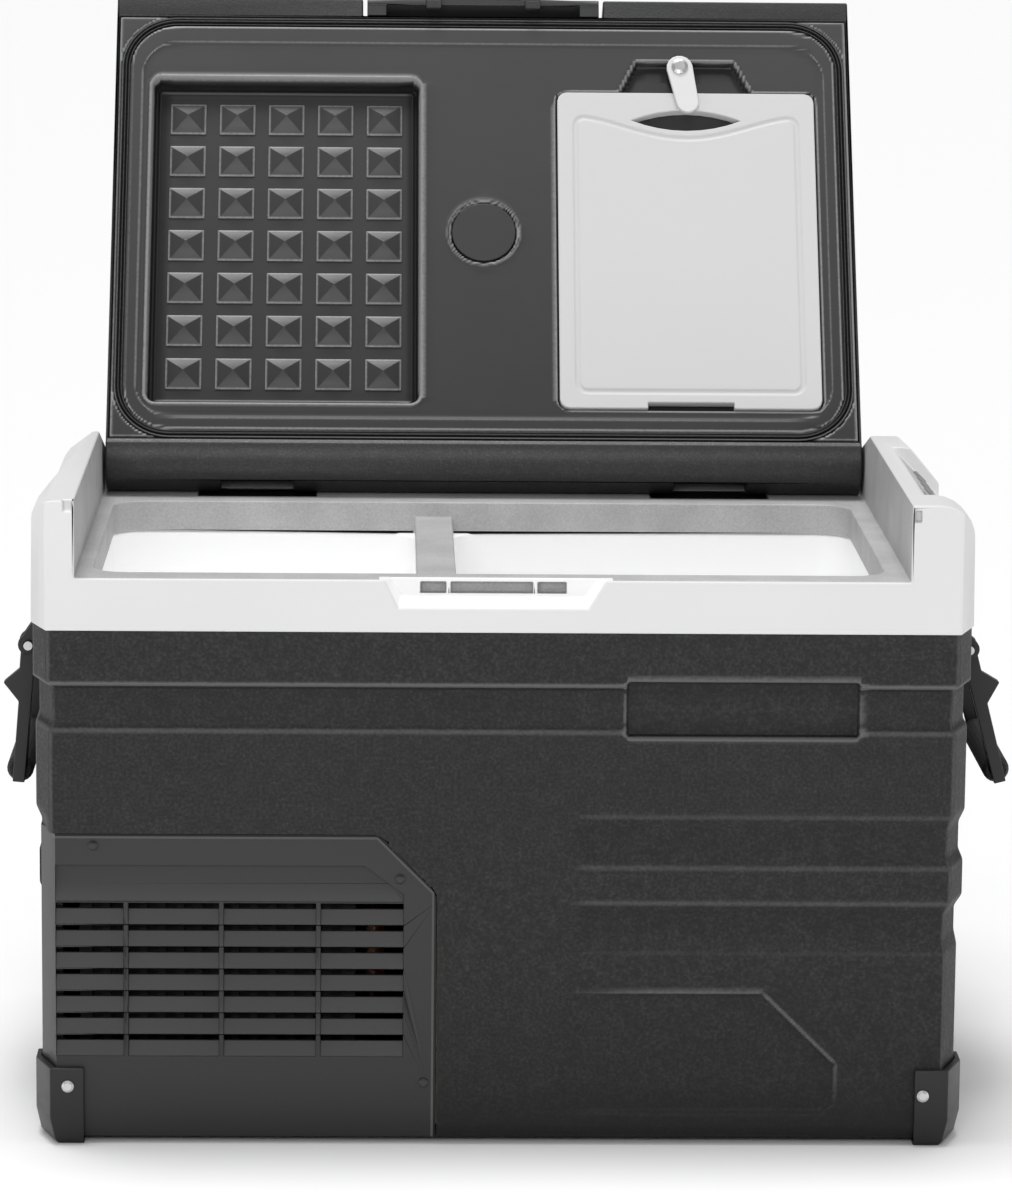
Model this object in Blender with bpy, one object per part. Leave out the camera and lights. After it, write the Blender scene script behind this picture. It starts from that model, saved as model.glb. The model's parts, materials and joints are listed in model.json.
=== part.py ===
"""Compressor cooler fridge: a two-compartment insulated chest with a hinged lid and a cooling unit.

Units are millimetres inside this script. Meshes are written in metres, +Z up. The origin is the middle of the
face that the chest rests on, the front faces -Y, and the lid is modelled lying open against its stop.
"""

import math

import bmesh
import bpy
from mathutils import Matrix, Vector

MM = 0.001

# Fits
GAP = 0.3                   # between pieces that touch
ROOM = 0.6                  # around pieces that move

# Cabinet
CABINET_WIDTH = 610.0
CABINET_DEPTH = 402.0
SHELL_BOTTOM = 4.0
SHELL_TOP = 342.0
CORNER_ACROSS = 11.0        # vertical corner chamfer, along X
CORNER_BACK = 30.0          # vertical corner chamfer, along Y
WALL_LINE = 11.0            # from the proudest outer face to the shell's inner face
HALF_WIDTH = CABINET_WIDTH / 2
HALF_DEPTH = CABINET_DEPTH / 2
FRONT = -HALF_DEPTH
BACK = HALF_DEPTH

# Relief of the walls: height and how far the face sits behind the proudest one
UPPER_BAND_INSET = 0.0
GROOVE_INSET = 4.0
WAIST_INSET = 1.5
RECESS_INSET = 5.0
LOW_BAND_INSET = 2.0
LOW_RECESS_INSET = 6.5
LOWER_INSET = 4.5
GROOVE_BOTTOM = 277.0
GROOVE_TOP = 306.0
RELIEF_FADE_START = 35.0    # on the front, where the lower bands die out
RELIEF_FADE_END = 60.0

# Top frame
FRAME_FLARE = 1.0           # how far the frame stands out past the shell at its foot
RIM_TOP = 427.0
BAY_LEFT = -276.0
BAY_RIGHT = 261.4
OPENING_LEFT = -266.0
OPENING_RIGHT = 248.0
OPENING_FRONT = -176.0
OPENING_BACK = 111.0
OPENING_RADIUS = 22.0
COLLAR_BOTTOM = 355.0
COLLAR_WALL = 4.0
FRAME_WALL = 5.0
LEDGE_THICKNESS = 12.0
REAR_SLOPE_START = 100.0
REAR_RIM_TOP = 398.0
LEFT_RIM_RADIUS = 16.0
RIGHT_RIM_RADIUS = 26.0
SHOULDER_CUT = (30.0, 25.0)  # how much the rear of each outer shoulder is cut away: down, and across

# Lid
HINGE_Y = 154.0
HINGE_Z = 402.0
LID_OPEN_ANGLE = 122.5
LID_WIDTH = 533.0
LID_REACH = 355.0           # hinge axis to the lid's front edge
BARREL_RADIUS = 25.0
LID_TOP_WALL = 4.0
LID_RIM_DROP = 23.5         # hinge axis down to the lid's inner face
LID_EDGE_RADIUS = 12.0
LID_X = (BAY_LEFT + BAY_RIGHT) / 2
LEDGE_Z = HINGE_Z - BARREL_RADIUS - 0.4
GASKET_OUTER = 262.0
GASKET_WIDTH = 6.0
GASKET_BACK = 3.5
GASKET_FRONT = 338.0
GASKET_RADIUS = 40.0
GASKET_GROOVE = 1.5

# Lid inner face: places across (u) and from the hinge axis (v)
POCKET_U = (-239.0, -46.0)
POCKET_V = (32.0, 289.0)
POCKET_DEPTH = 14.0
PYRAMID_COLUMNS = 5
PYRAMID_ROWS = 7
PYRAMID_FIRST = (-213.5, 59.1)
PYRAMID_PITCH = (35.5, 33.8)
PYRAMID_BASE = (24.0, 22.5)
PYRAMID_HEIGHT = 7.0
PANEL_SKIN = 3.0
CAP_V = 166.0
CAP_RADIUS = 22.75
BOARD_U = (53.5, 239.5)
BOARD_V = (28.0, 279.0)
BOARD_THICKNESS = 8.0
BOARD_RADIUS = 7.0
BOARD_HOLE = (79.0, 16.4)
BOARD_HOLE_V = 256.6
BOARD_NOTCH = (61.0, 4.7)
SCOOP_V = 306.0
SCOOP_WIDTHS = (71.0, 98.0)
CLIP_U = 142.5
CLIP_V = 298.0
CLIP_WIDTH = 19.0
CLIP_LENGTH = 48.0
CLIP_THICKNESS = 4.0
CLIP_TURN = 10.7
CLIP_SCREW_HEAD = 6.0

# Latch
LATCH_WIDTH = 169.0
LATCH_GAP = 3.0
LATCH_V = 341.0
LATCH_PIN_RISE = 11.0       # latch pin above the hinge axis height, lid closed
LATCH_PIN_RADIUS = 2.0
HOOK_U = 36.0
HOOK_WIDTH = 11.0
HOOK_LENGTH = 10.0

# Hinges
HINGE_SPACING = 160.0
HINGE_CUT_WIDTH = 84.0
KNUCKLE_WIDTH = 50.0
KNUCKLE_RADIUS = 8.0
HINGE_PIN_RADIUS = 4.0
HINGE_PIN_GRIP = 12.0
BRACKET_THICKNESS = 4.0

# Liner
LINER_WALL = 2.0
DIVIDER_LEFT = -57.0
DIVIDER_RIGHT = -29.0
DIVIDER_TOP = 366.0
LEFT_FLOOR = 240.0
RIGHT_FLOOR = 40.0
LINER_FLANGE = 2.0

# Cooling unit bay
BAY_CEILING = 213.0
BAY_SIDE = -62.0
COVER_TOP = 208.0
COVER_RIGHT = -42.0
COVER_WALL = 6.0
COVER_SIDE_END = -146.0
COVER_CORNER = (45.0, 44.0)  # the sloping upper right corner: its drop and its run
COVER_CORNER_RADIUS = 16.0
LOUVER_MARGIN = 15.4        # from the cabinet's left side to the first louver
LOUVER_RIGHT = -63.6
LOUVER_PITCH = 14.7
LOUVER_COUNT = 7
LOUVER_SLOT = 4.5
LOUVER_FIRST = 157.5
LOUVER_RIBS = (-244.0, -182.0, -119.0)
RIB_WIDTH = 3.0

# Floor tray, guards and screws
TRAY_TOP = 12.0
PLINTH_INSET = 55.0
GUARD_FACE = 22.0
GUARD_SIDE = 20.0
GUARD_HEIGHT = 52.0
GUARD_WALL = 4.0
SCREW_HEAD_RADIUS = 4.0
SCREW_HEAD = 1.8
SCREW_SHANK_RADIUS = 2.0
SCREW_REACH = 9.0

# Handles
HANDLE_STAND_OFF = 9.0      # from the side wall out to the pivot rod
HANDLE_PIVOT_Z = 310.0
HANDLE_SPAN = 142.0
HANDLE_ARM = 88.0
HANDLE_ARM_WIDTH = 9.0
HANDLE_ARM_THICK = 8.0
HANDLE_ROD_RADIUS = 3.0
HANDLE_GRIP_RADIUS = 9.0
HANDLE_REST = {"left": 4.6, "right": 14.4}
BRACKET_PLATE = 3.0


# ---------------------------------------------------------------- outlines

def arc(centre, radius, start, end, steps):
    """Points on a circle from one angle to another, in degrees."""
    angles = [math.radians(start + (end - start) * i / steps) for i in range(steps + 1)]
    return [(centre[0] + radius * math.cos(a), centre[1] + radius * math.sin(a)) for a in angles]


def circle(centre, radius, steps=20):
    return arc(centre, radius, 0.0, 360.0, steps)[:-1]


def rectangle(x0, x1, y0, y1):
    return [(x0, y0), (x1, y0), (x1, y1), (x0, y1)]


def rounded(x0, x1, y0, y1, radius, steps=4):
    """A rectangle with round corners, anticlockwise from its lower left."""
    points = arc((x0 + radius, y0 + radius), radius, 180, 270, steps)
    points += arc((x1 - radius, y0 + radius), radius, 270, 360, steps)
    points += arc((x1 - radius, y1 - radius), radius, 0, 90, steps)
    points += arc((x0 + radius, y1 - radius), radius, 90, 180, steps)
    return points


def cabinet_outline(inset):
    """The chest seen from above: a rectangle with long, shallow corner chamfers."""
    half_x = HALF_WIDTH - inset
    half_y = HALF_DEPTH - inset
    face = half_x - CORNER_ACROSS
    side = half_y - CORNER_BACK
    return [(-face, -half_y), (face, -half_y), (half_x, -side), (half_x, side),
            (face, half_y), (-face, half_y), (-half_x, side), (-half_x, -side)]


# ---------------------------------------------------------------- solids

def loft(sections, split=False):
    """A closed solid through rings of 3-D points, all of one count; split makes twisted faces flat."""
    mesh = bmesh.new()
    rings = [[mesh.verts.new(Vector(point) * MM) for point in ring] for ring in sections]
    count = len(rings[0])
    for lower, upper in zip(rings, rings[1:]):
        for i in range(count):
            j = (i + 1) % count
            mesh.faces.new((lower[i], lower[j], upper[j], upper[i]))
    mesh.faces.new(list(reversed(rings[0])))
    mesh.faces.new(rings[-1])
    if split:
        bmesh.ops.triangulate(mesh, faces=mesh.faces)
    bmesh.ops.recalc_face_normals(mesh, faces=mesh.faces)
    return mesh


def along_z(outline, z0, z1):
    return loft([[(x, y, z) for x, y in outline] for z in (z0, z1)])


def along_y(outline, y0, y1):
    return loft([[(x, y, z) for x, z in outline] for y in (y0, y1)])


def along_x(outline, x0, x1):
    return loft([[(x, y, z) for y, z in outline] for x in (x0, x1)])


def box(x0, x1, y0, y1, z0, z1):
    return along_z(rectangle(x0, x1, y0, y1), z0, z1)


def ring_prism(outer, inner, z0, z1):
    """A tube with flat ends between two outlines of equal point count."""
    mesh = bmesh.new()
    loops = [[mesh.verts.new(Vector((x, y, z)) * MM) for x, y in line]
             for line, z in ((outer, z0), (outer, z1), (inner, z1), (inner, z0))]
    count = len(outer)
    for k in range(4):
        first, second = loops[k], loops[(k + 1) % 4]
        for i in range(count):
            j = (i + 1) % count
            mesh.faces.new((first[i], first[j], second[j], second[i]))
    bmesh.ops.recalc_face_normals(mesh, faces=mesh.faces)
    return mesh


def turned(profile, steps=32):
    """A solid of revolution about Z from (radius, z) points, bottom to top, ending on flat discs."""
    rings = [[(r * math.cos(a), r * math.sin(a), z) for a in
              [2 * math.pi * i / steps for i in range(steps)]] for r, z in profile]
    return loft(rings)


def gathered(meshes):
    """Several separate solids in one mesh, for use as one cutter."""
    whole = bmesh.new()
    for part in meshes:
        holder = bpy.data.meshes.new("gathered")
        part.to_mesh(holder)
        whole.from_mesh(holder)
        bpy.data.meshes.remove(holder)
        part.free()
    return whole


def moved(mesh, matrix):
    bmesh.ops.transform(mesh, matrix=matrix, verts=mesh.verts)
    if matrix.determinant() < 0:
        bmesh.ops.reverse_faces(mesh, faces=mesh.faces)
    return mesh


def shifted(mesh, x=0.0, y=0.0, z=0.0):
    return moved(mesh, Matrix.Translation(Vector((x, y, z)) * MM))


# ---------------------------------------------------------------- objects

def material(name, colour, roughness, metallic=0.0):
    made = bpy.data.materials.new(name)
    made.use_nodes = True
    shader = made.node_tree.nodes["Principled BSDF"]
    shader.inputs["Base Color"].default_value = (*colour, 1.0)
    shader.inputs["Roughness"].default_value = roughness
    shader.inputs["Metallic"].default_value = metallic
    return made


def piece(name, mesh, look, parent=None):
    """One sub-part, shaded smooth with its creases kept."""
    data = bpy.data.meshes.new(name)
    mesh.to_mesh(data)
    mesh.free()
    data.shade_smooth()
    data.set_sharp_from_angle(angle=math.radians(30))
    data.materials.append(look)
    made = bpy.data.objects.new(name, data)
    bpy.context.scene.collection.objects.link(made)
    made.parent = parent
    return made


def pivot(name, place, rotation=(0.0, 0.0, 0.0), parent=None):
    """An empty that carries pieces in their own frame."""
    made = bpy.data.objects.new(name, None)
    bpy.context.scene.collection.objects.link(made)
    made.location = Vector(place) * MM
    made.rotation_euler = [math.radians(angle) for angle in rotation]
    made.parent = parent
    return made


def combine(target, mesh, operation):
    """Cut a solid out of a piece, or join one to it, with a hidden guide object."""
    data = bpy.data.meshes.new(target.name + "_guide")
    mesh.to_mesh(data)
    mesh.free()
    guide = bpy.data.objects.new(data.name, data)
    bpy.context.scene.collection.objects.link(guide)
    guide.parent = target.parent
    guide.location = target.location
    guide.rotation_euler = target.rotation_euler
    guide.hide_render = True
    guide.hide_viewport = True
    guide.display_type = "WIRE"
    step = target.modifiers.new(operation.lower(), "BOOLEAN")
    step.operation = operation
    step.solver = "EXACT"
    step.object = guide


def cut(target, mesh):
    combine(target, mesh, "DIFFERENCE")


def join(target, mesh):
    combine(target, mesh, "UNION")


for leftover in list(bpy.data.objects):
    bpy.data.objects.remove(leftover)

SHELL_BLACK = material("shell_black", (0.035, 0.035, 0.036), 0.62)
SMOOTH_BLACK = material("smooth_black", (0.045, 0.045, 0.047), 0.45)
LID_BLACK = material("lid_black", (0.05, 0.05, 0.052), 0.42)
FRAME_GREY = material("frame_grey", (0.62, 0.62, 0.62), 0.42)
LINER_WHITE = material("liner_white", (0.86, 0.86, 0.86), 0.35)
FOAM_CREAM = material("foam_cream", (0.72, 0.66, 0.48), 0.95)
BOARD_GREY = material("board_grey", (0.70, 0.70, 0.70), 0.5)
CLIP_GREY = material("clip_grey", (0.78, 0.78, 0.78), 0.38)
RUBBER = material("rubber_black", (0.02, 0.02, 0.02), 0.8)
STEEL = material("bright_steel", (0.62, 0.62, 0.63), 0.28, 1.0)
DARK_STEEL = material("dark_steel", (0.06, 0.06, 0.065), 0.4, 0.6)
ALUMINIUM = material("aluminium", (0.75, 0.76, 0.77), 0.35, 1.0)
COPPER = material("copper", (0.72, 0.36, 0.22), 0.3, 1.0)
BOARD_GREEN = material("circuit_green", (0.03, 0.18, 0.07), 0.5)
DISPLAY_GLASS = material("display_glass", (0.01, 0.01, 0.012), 0.1)
BUTTON_GREY = material("button_grey", (0.35, 0.35, 0.36), 0.5)


# ---------------------------------------------------------------- outer shell

FRONT_LEFT_CORNER = 0
FRONT_RIGHT_CORNER = 1


# Heights of the lower front's slopes: each recess falls back over its first pair and comes out over its last
FOOT_SLOPE = 8.0
LOW_RECESS_Z = (129.5, 139.0, 155.0, 163.5)
HIGH_RECESS_Z = (187.0, 194.0, 212.0, 221.0)


def full_relief():
    """Heights and insets of the moulded bands, from the foot up."""
    return [(SHELL_BOTTOM, LOWER_INSET + 6.0), (SHELL_BOTTOM + 2.0, LOWER_INSET + 2.0),
            (SHELL_BOTTOM + FOOT_SLOPE, LOWER_INSET), (LOW_RECESS_Z[0], LOWER_INSET),
            (LOW_RECESS_Z[1], LOW_RECESS_INSET), (LOW_RECESS_Z[2], LOW_RECESS_INSET),
            (LOW_RECESS_Z[3], LOW_BAND_INSET), (HIGH_RECESS_Z[0], LOW_BAND_INSET),
            (HIGH_RECESS_Z[1], RECESS_INSET), (HIGH_RECESS_Z[2], RECESS_INSET),
            (HIGH_RECESS_Z[3], WAIST_INSET), (GROOVE_BOTTOM, WAIST_INSET),
            (GROOVE_BOTTOM + 4.0, GROOVE_INSET), (GROOVE_TOP - 0.5, GROOVE_INSET),
            (GROOVE_TOP, UPPER_BAND_INSET), (SHELL_TOP, UPPER_BAND_INSET)]


def plain_inset(z, inset):
    """The inset where the lower bands have died out: an even slope up to the waist band."""
    low = SHELL_BOTTOM + FOOT_SLOPE
    high = HIGH_RECESS_Z[3]
    if z <= low or z >= high:
        return inset
    return LOWER_INSET + (WAIST_INSET - LOWER_INSET) * (z - low) / (high - low)


def shell_ring(z, inset):
    """One level of the shell: the front's left part is plain and the rest follows the bands."""
    banded = cabinet_outline(inset)
    plain = cabinet_outline(plain_inset(z, inset))
    front_y = banded[FRONT_RIGHT_CORNER][1]
    plain_y = plain[FRONT_LEFT_CORNER][1]
    points = [plain[FRONT_LEFT_CORNER], (RELIEF_FADE_START, plain_y), (RELIEF_FADE_END, front_y)]
    points += banded[1:]
    return [(x, y, z) for x, y in points]


shell = piece("outer_shell", loft([shell_ring(z, inset) for z, inset in full_relief()], split=True),
              SHELL_BLACK)
cut(shell, along_z(cabinet_outline(WALL_LINE), SHELL_BOTTOM - 5, SHELL_TOP + 5))

# A block recess in the groove, and a shallow panel low on the right of the front
BLOCK_X = (80.0, 230.0)
BLOCK_Z = (GROOVE_BOTTOM - 3.0, GROOVE_TOP + 4.0)
BLOCK_DEPTH = 6.5
cut(shell, along_y(rectangle(*BLOCK_X, *BLOCK_Z), FRONT - 5, FRONT + BLOCK_DEPTH))
LOW_PANEL_DEPTH = 2.2
LOW_PANEL_RUN = 40.0  # the panel's floor sinks over this stretch
PANEL_OUTLINE = [(RELIEF_FADE_START, 22.0), (210.0, 22.0), (218.0, 29.0), (218.0, 55.0),
                 (170.0, 102.0), (RELIEF_FADE_START, 102.0)]


def low_panel_floor(x):
    """How far back the low panel's floor lies."""
    return FRONT + LOWER_INSET + LOW_PANEL_DEPTH * min((x - RELIEF_FADE_START) / LOW_PANEL_RUN, 1.0)


cut(shell, loft([[(x, FRONT - 5, z) for x, z in PANEL_OUTLINE],
                 [(x, low_panel_floor(x), z) for x, z in PANEL_OUTLINE]], split=True))

# The cooling unit's opening, wrapped round the front left corner


def cover_corner(grow):
    """The cover's sloping upper right corner, round at both ends, from the side up to the top."""
    drop, run = COVER_CORNER
    low = (COVER_RIGHT - COVER_CORNER_RADIUS, COVER_TOP - drop)
    high = (COVER_RIGHT - run, COVER_TOP - COVER_CORNER_RADIUS)
    return (arc(low, COVER_CORNER_RADIUS + grow, 0.0, 45.0, 3)
            + arc(high, COVER_CORNER_RADIUS + grow, 45.0, 90.0, 3))


def cover_outline(grow):
    """The cover seen from the front, grown by a clearance."""
    return [(-HALF_WIDTH - 5, SHELL_BOTTOM - 5), (COVER_RIGHT + grow, SHELL_BOTTOM - 5), *cover_corner(grow),
            (-HALF_WIDTH - 5, COVER_TOP + grow)]


cut(shell, along_y(cover_outline(ROOM), FRONT - 5, -160.0))
cut(shell, box(-HALF_WIDTH - 5, -HALF_WIDTH + 40, -165.0, COVER_SIDE_END + ROOM, SHELL_BOTTOM - 5,
               COVER_TOP + ROOM))

# ---------------------------------------------------------------- floor tray

tray = piece("base_tray", loft([
    [(x, y, z) for x, y in cabinet_outline(WALL_LINE + inset)]
    for z, inset in ((0.0, PLINTH_INSET), (SHELL_BOTTOM, PLINTH_INSET - 2), (SHELL_BOTTOM, GAP),
                     (TRAY_TOP, GAP))]),
    SMOOTH_BLACK)

# ---------------------------------------------------------------- cooling unit cover

COVER_FACE = LOWER_INSET


def cover_plan(tuck):
    """The cover seen from above: front wall, chamfered corner and short side wall, its face tucked in."""
    outer = cabinet_outline(COVER_FACE + tuck)
    inner = cabinet_outline(COVER_FACE + COVER_WALL)
    return [(COVER_RIGHT, outer[0][1]), outer[0], outer[7], (outer[7][0], COVER_SIDE_END),
            (inner[7][0], COVER_SIDE_END), inner[7], inner[0], (COVER_RIGHT, inner[0][1])]


COVER_FOOT = [(SHELL_BOTTOM + GAP, 3.6), (SHELL_BOTTOM + 6.0, 1.8), (SHELL_BOTTOM + 16.0, 0.4),
              (SHELL_BOTTOM + 26.0, 0.0), (COVER_TOP, 0.0)]
cover = piece("compressor_cover", loft([[(x, y, z) for x, y in cover_plan(tuck)] for z, tuck in COVER_FOOT]),
              SMOOTH_BLACK)
cut(cover, along_y([(COVER_RIGHT + 5, COVER_TOP - COVER_CORNER[0]), *cover_corner(0.0),
                    (COVER_RIGHT - COVER_CORNER[1], COVER_TOP + 5), (COVER_RIGHT + 5, COVER_TOP + 5)],
                   FRONT - 5, FRONT + 30))


LOUVER_LEFT = -HALF_WIDTH + LOUVER_MARGIN


def louver_bays():
    """The stretches between the upright ribs."""
    edges = [LOUVER_LEFT]
    for rib in LOUVER_RIBS:
        edges += [rib - RIB_WIDTH / 2, rib + RIB_WIDTH / 2]
    edges.append(LOUVER_RIGHT)
    return list(zip(edges[0::2], edges[1::2]))


face_y = FRONT + COVER_FACE
SLAT_DROP = 9.9
slots = []
for row in range(LOUVER_COUNT):
    slot_z = LOUVER_FIRST - row * LOUVER_PITCH
    profile = [(face_y - 5, slot_z - SLAT_DROP), (face_y + 0.4, slot_z - SLAT_DROP), (face_y + 4.0, slot_z),
               (face_y + COVER_WALL + 5, slot_z), (face_y + COVER_WALL + 5, slot_z + LOUVER_SLOT),
               (face_y - 5, slot_z + LOUVER_SLOT)]
    slots += [along_x(profile, x0, x1) for x0, x1 in louver_bays()]
cut(cover, gathered(slots))


BLIND_TOP = COVER_TOP - 21.0
BLIND_END = (LOUVER_RIGHT, COVER_TOP - 40.0)
BLIND_FOOT = COVER_TOP - 45.0
BLIND_RISE = 11.0
BLIND_CORNER_RUN = COVER_CORNER[1] - 18.6


def blind_row(depth, foot):
    """The blind row above the louvers at one depth: its lower face slopes and its right end rises."""
    slope = BLIND_CORNER_RUN / (BLIND_TOP - BLIND_END[1])
    foot_end = BLIND_END[0] - slope * max(foot + 1.0 - BLIND_END[1], 0.0)
    return [(x, face_y + depth, z) for x, z in
            [(LOUVER_LEFT, foot), (foot_end, foot), (foot_end, max(BLIND_END[1], foot + 1.0)),
             (BLIND_END[0] - slope * (BLIND_TOP - BLIND_END[1]), BLIND_TOP), (LOUVER_LEFT, BLIND_TOP)]]


cut(cover, loft([blind_row(-5.0, BLIND_FOOT), blind_row(0.4, BLIND_FOOT),
                 blind_row(3.8, BLIND_FOOT + BLIND_RISE)], split=True))

# ---------------------------------------------------------------- screws


def screw(name, place, direction, look=STEEL, parent=None, head=SCREW_HEAD_RADIUS, reach=SCREW_REACH):
    """A domed screw, its head's underside at its place, looking along the direction out of the face."""
    profile = [(SCREW_SHANK_RADIUS * 0.5, -reach), (SCREW_SHANK_RADIUS, -reach + 1.5),
               (SCREW_SHANK_RADIUS, 0.0),
               (head, 0.0), (head, SCREW_HEAD * 0.45), (head * 0.62, SCREW_HEAD)]
    made = piece(name, turned(profile, 16), look, parent)
    made.location = Vector(place) * MM
    made.rotation_mode = "QUATERNION"
    made.rotation_quaternion = Vector(direction).to_track_quat("Z", "Y")
    return made


def screw_hole(place, direction, reach=SCREW_REACH + 1.0):
    """A clearance hole for a screw, reaching out past its face."""
    hole = turned([(SCREW_SHANK_RADIUS + GAP, -reach), (SCREW_SHANK_RADIUS + GAP, 5.0)], 12)
    turn = Vector(direction).to_track_quat("Z", "Y").to_matrix().to_4x4()
    return moved(hole, Matrix.Translation(Vector(place) * MM) @ turn)


FORWARD = (0.0, -1.0, 0.0)
BACKWARD = (0.0, 1.0, 0.0)
COVER_SCREWS = [(-HALF_WIDTH + 40.0, COVER_TOP - 8.0), (COVER_RIGHT - 24.0, COVER_TOP - 29.5),
                (COVER_RIGHT - 8.0, 42.0)]
cut(cover, gathered([screw_hole((x, face_y, z), FORWARD) for x, z in COVER_SCREWS]))
for number, (x, z) in enumerate(COVER_SCREWS, 1):
    screw("cover_screw_%d" % number, (x, face_y - GAP, z), FORWARD, DARK_STEEL, head=3.2, reach=5.8)

# ---------------------------------------------------------------- corner guards

GUARD_OUT = LOWER_INSET - GUARD_WALL
guard_face_y = -(HALF_DEPTH - GUARD_OUT)


def guard_plan(inset, tuck=0.0):
    """One guard seen from above, for the front right corner; the tuck pulls its outer corner in."""
    line = cabinet_outline(inset)
    face, side = line[1], line[2]
    start = HALF_WIDTH - GUARD_OUT - CORNER_ACROSS - GUARD_FACE
    end = -(HALF_DEPTH - GUARD_OUT - CORNER_BACK - GUARD_SIDE)
    return [(start, face[1] + tuck), (face[0] - tuck, face[1] + tuck), (side[0] - tuck, side[1] + tuck),
            (side[0] - tuck, end), (start, end)]


def guard_mesh():
    return loft([[(x, y, z) for x, y in guard_plan(GUARD_OUT, tuck)]
                 for z, tuck in ((0.0, 5.0), (3.0, 3.0), (18.0, 0.0), (GUARD_HEIGHT, 0.0))])


def guard_hollow():
    """What the guard must leave free: the shell's foot and everything behind it."""
    plan = guard_plan(LOWER_INSET - GAP)
    plan = [(x - 5 if i in (0, 4) else x, y + 5 if i in (3, 4) else y) for i, (x, y) in enumerate(plan)]
    return along_z(plan, SHELL_BOTTOM - GAP, GUARD_HEIGHT + 5)


CORNERS = {"front_right": (1, 1), "front_left": (-1, 1), "rear_right": (1, -1), "rear_left": (-1, -1)}
GUARD_SCREW_Z = {"front_right": 35.0, "front_left": 40.0, "rear_right": 38.0, "rear_left": 38.0}
GUARD_SCREW_IN = {"front_right": 28.0, "front_left": 23.0, "rear_right": 25.0, "rear_left": 25.0}
for corner, (flip_x, flip_y) in CORNERS.items():
    mirror = Matrix.Diagonal((flip_x, flip_y, 1.0, 1.0))
    guard = piece("corner_guard_" + corner, moved(guard_mesh(), mirror), SMOOTH_BLACK)
    cut(guard, moved(guard_hollow(), mirror))
    screw_x = HALF_WIDTH - GUARD_SCREW_IN[corner]
    place = (flip_x * screw_x, flip_y * guard_face_y, GUARD_SCREW_Z[corner])
    outward = FORWARD if flip_y > 0 else BACKWARD
    cut(guard, screw_hole(place, outward))
    cut(cover if corner == "front_left" else shell, screw_hole(place, outward, SCREW_REACH + 1.0))
    screw("guard_screw_" + corner, (place[0], place[1] + GAP * outward[1], place[2]), outward)

# ---------------------------------------------------------------- liner, evaporator and foam

LINER_LIP = COLLAR_BOTTOM - GAP
FLANGE_REACH = 8.0
COMPARTMENTS = {"left": (OPENING_LEFT - 2, DIVIDER_LEFT, LEFT_FLOOR),
                "right": (DIVIDER_RIGHT, OPENING_RIGHT + 2, RIGHT_FLOOR)}
LINER_FRONT = OPENING_FRONT - 2
LINER_BACK = OPENING_BACK + 2
LINER_DRAFT = 5.0           # how far each wall draws in from lip to floor
FLOOR_RADIUS = 6.0
LINER_RADIUS = OPENING_RADIUS


def pocket(side, grow, top):
    """A compartment's space, its walls drawn in towards the floor, grown by a wall or a clearance."""
    x0, x1, floor = COMPARTMENTS[side]
    rings = []
    for z, extra in ((floor - grow, FLOOR_RADIUS), (floor - grow + FLOOR_RADIUS, 0.0), (top, 0.0)):
        draft = extra + LINER_DRAFT * (LINER_LIP - z) / (LINER_LIP - floor)
        outline = rounded(x0 - grow + draft, x1 + grow - draft, LINER_FRONT - grow + draft,
                          LINER_BACK + grow - draft, LINER_RADIUS + grow)
        rings.append([(x, y, z) for x, y in outline])
    return loft(rings)


liner = piece("inner_liner", pocket("left", LINER_WALL, LINER_LIP - 0.1), LINER_WHITE)
join(liner, pocket("right", LINER_WALL, LINER_LIP - 0.2))
FLANGE_PLAN = rectangle(OPENING_LEFT - FLANGE_REACH, OPENING_RIGHT + FLANGE_REACH,
                        OPENING_FRONT - FLANGE_REACH, OPENING_BACK + FLANGE_REACH)
join(liner, along_z(FLANGE_PLAN, LINER_LIP - LINER_FLANGE, LINER_LIP))
cut(liner, pocket("left", 0.0, LINER_LIP + 5))
cut(liner, pocket("right", 0.0, LINER_LIP + 5))

EVAPORATOR_Z = (70.0, 300.0)
EVAPORATOR_WALL = 1.5
right_x0, right_x1, right_floor = COMPARTMENTS["right"]


def evaporator_line(grow):
    return rounded(right_x0 - grow, right_x1 + grow, LINER_FRONT - grow, LINER_BACK + grow,
                   LINER_RADIUS + grow)


piece("evaporator_plate", ring_prism(evaporator_line(LINER_WALL + GAP + EVAPORATOR_WALL),
                                     evaporator_line(LINER_WALL + GAP), *EVAPORATOR_Z), ALUMINIUM)

FOAM_TOP = LINER_LIP - LINER_FLANGE - GAP
foam_plan = cabinet_outline(WALL_LINE + GAP)
foam = piece("insulation_foam", along_z(foam_plan, TRAY_TOP + GAP, SHELL_TOP - 2.0), FOAM_CREAM)
FOAM_COLLAR = rectangle(OPENING_LEFT - COLLAR_WALL - 14, OPENING_RIGHT + COLLAR_WALL + 14,
                        OPENING_FRONT - COLLAR_WALL - 6, OPENING_BACK + COLLAR_WALL + 14)
join(foam, along_z(FOAM_COLLAR, SHELL_TOP - 5.0, FOAM_TOP))
cut(foam, pocket("left", LINER_WALL + GAP, LINER_LIP + 9))
cut(foam, pocket("right", LINER_WALL + GAP, LINER_LIP + 9.1))
cut(foam, along_z(evaporator_line(LINER_WALL + 2 * GAP + EVAPORATOR_WALL), EVAPORATOR_Z[0] - GAP,
                  EVAPORATOR_Z[1] + GAP))
cut(foam, box(-HALF_WIDTH - 5, BAY_SIDE, -HALF_DEPTH - 5, HALF_DEPTH + 5, 0.0, BAY_CEILING))

# ---------------------------------------------------------------- top frame


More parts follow.
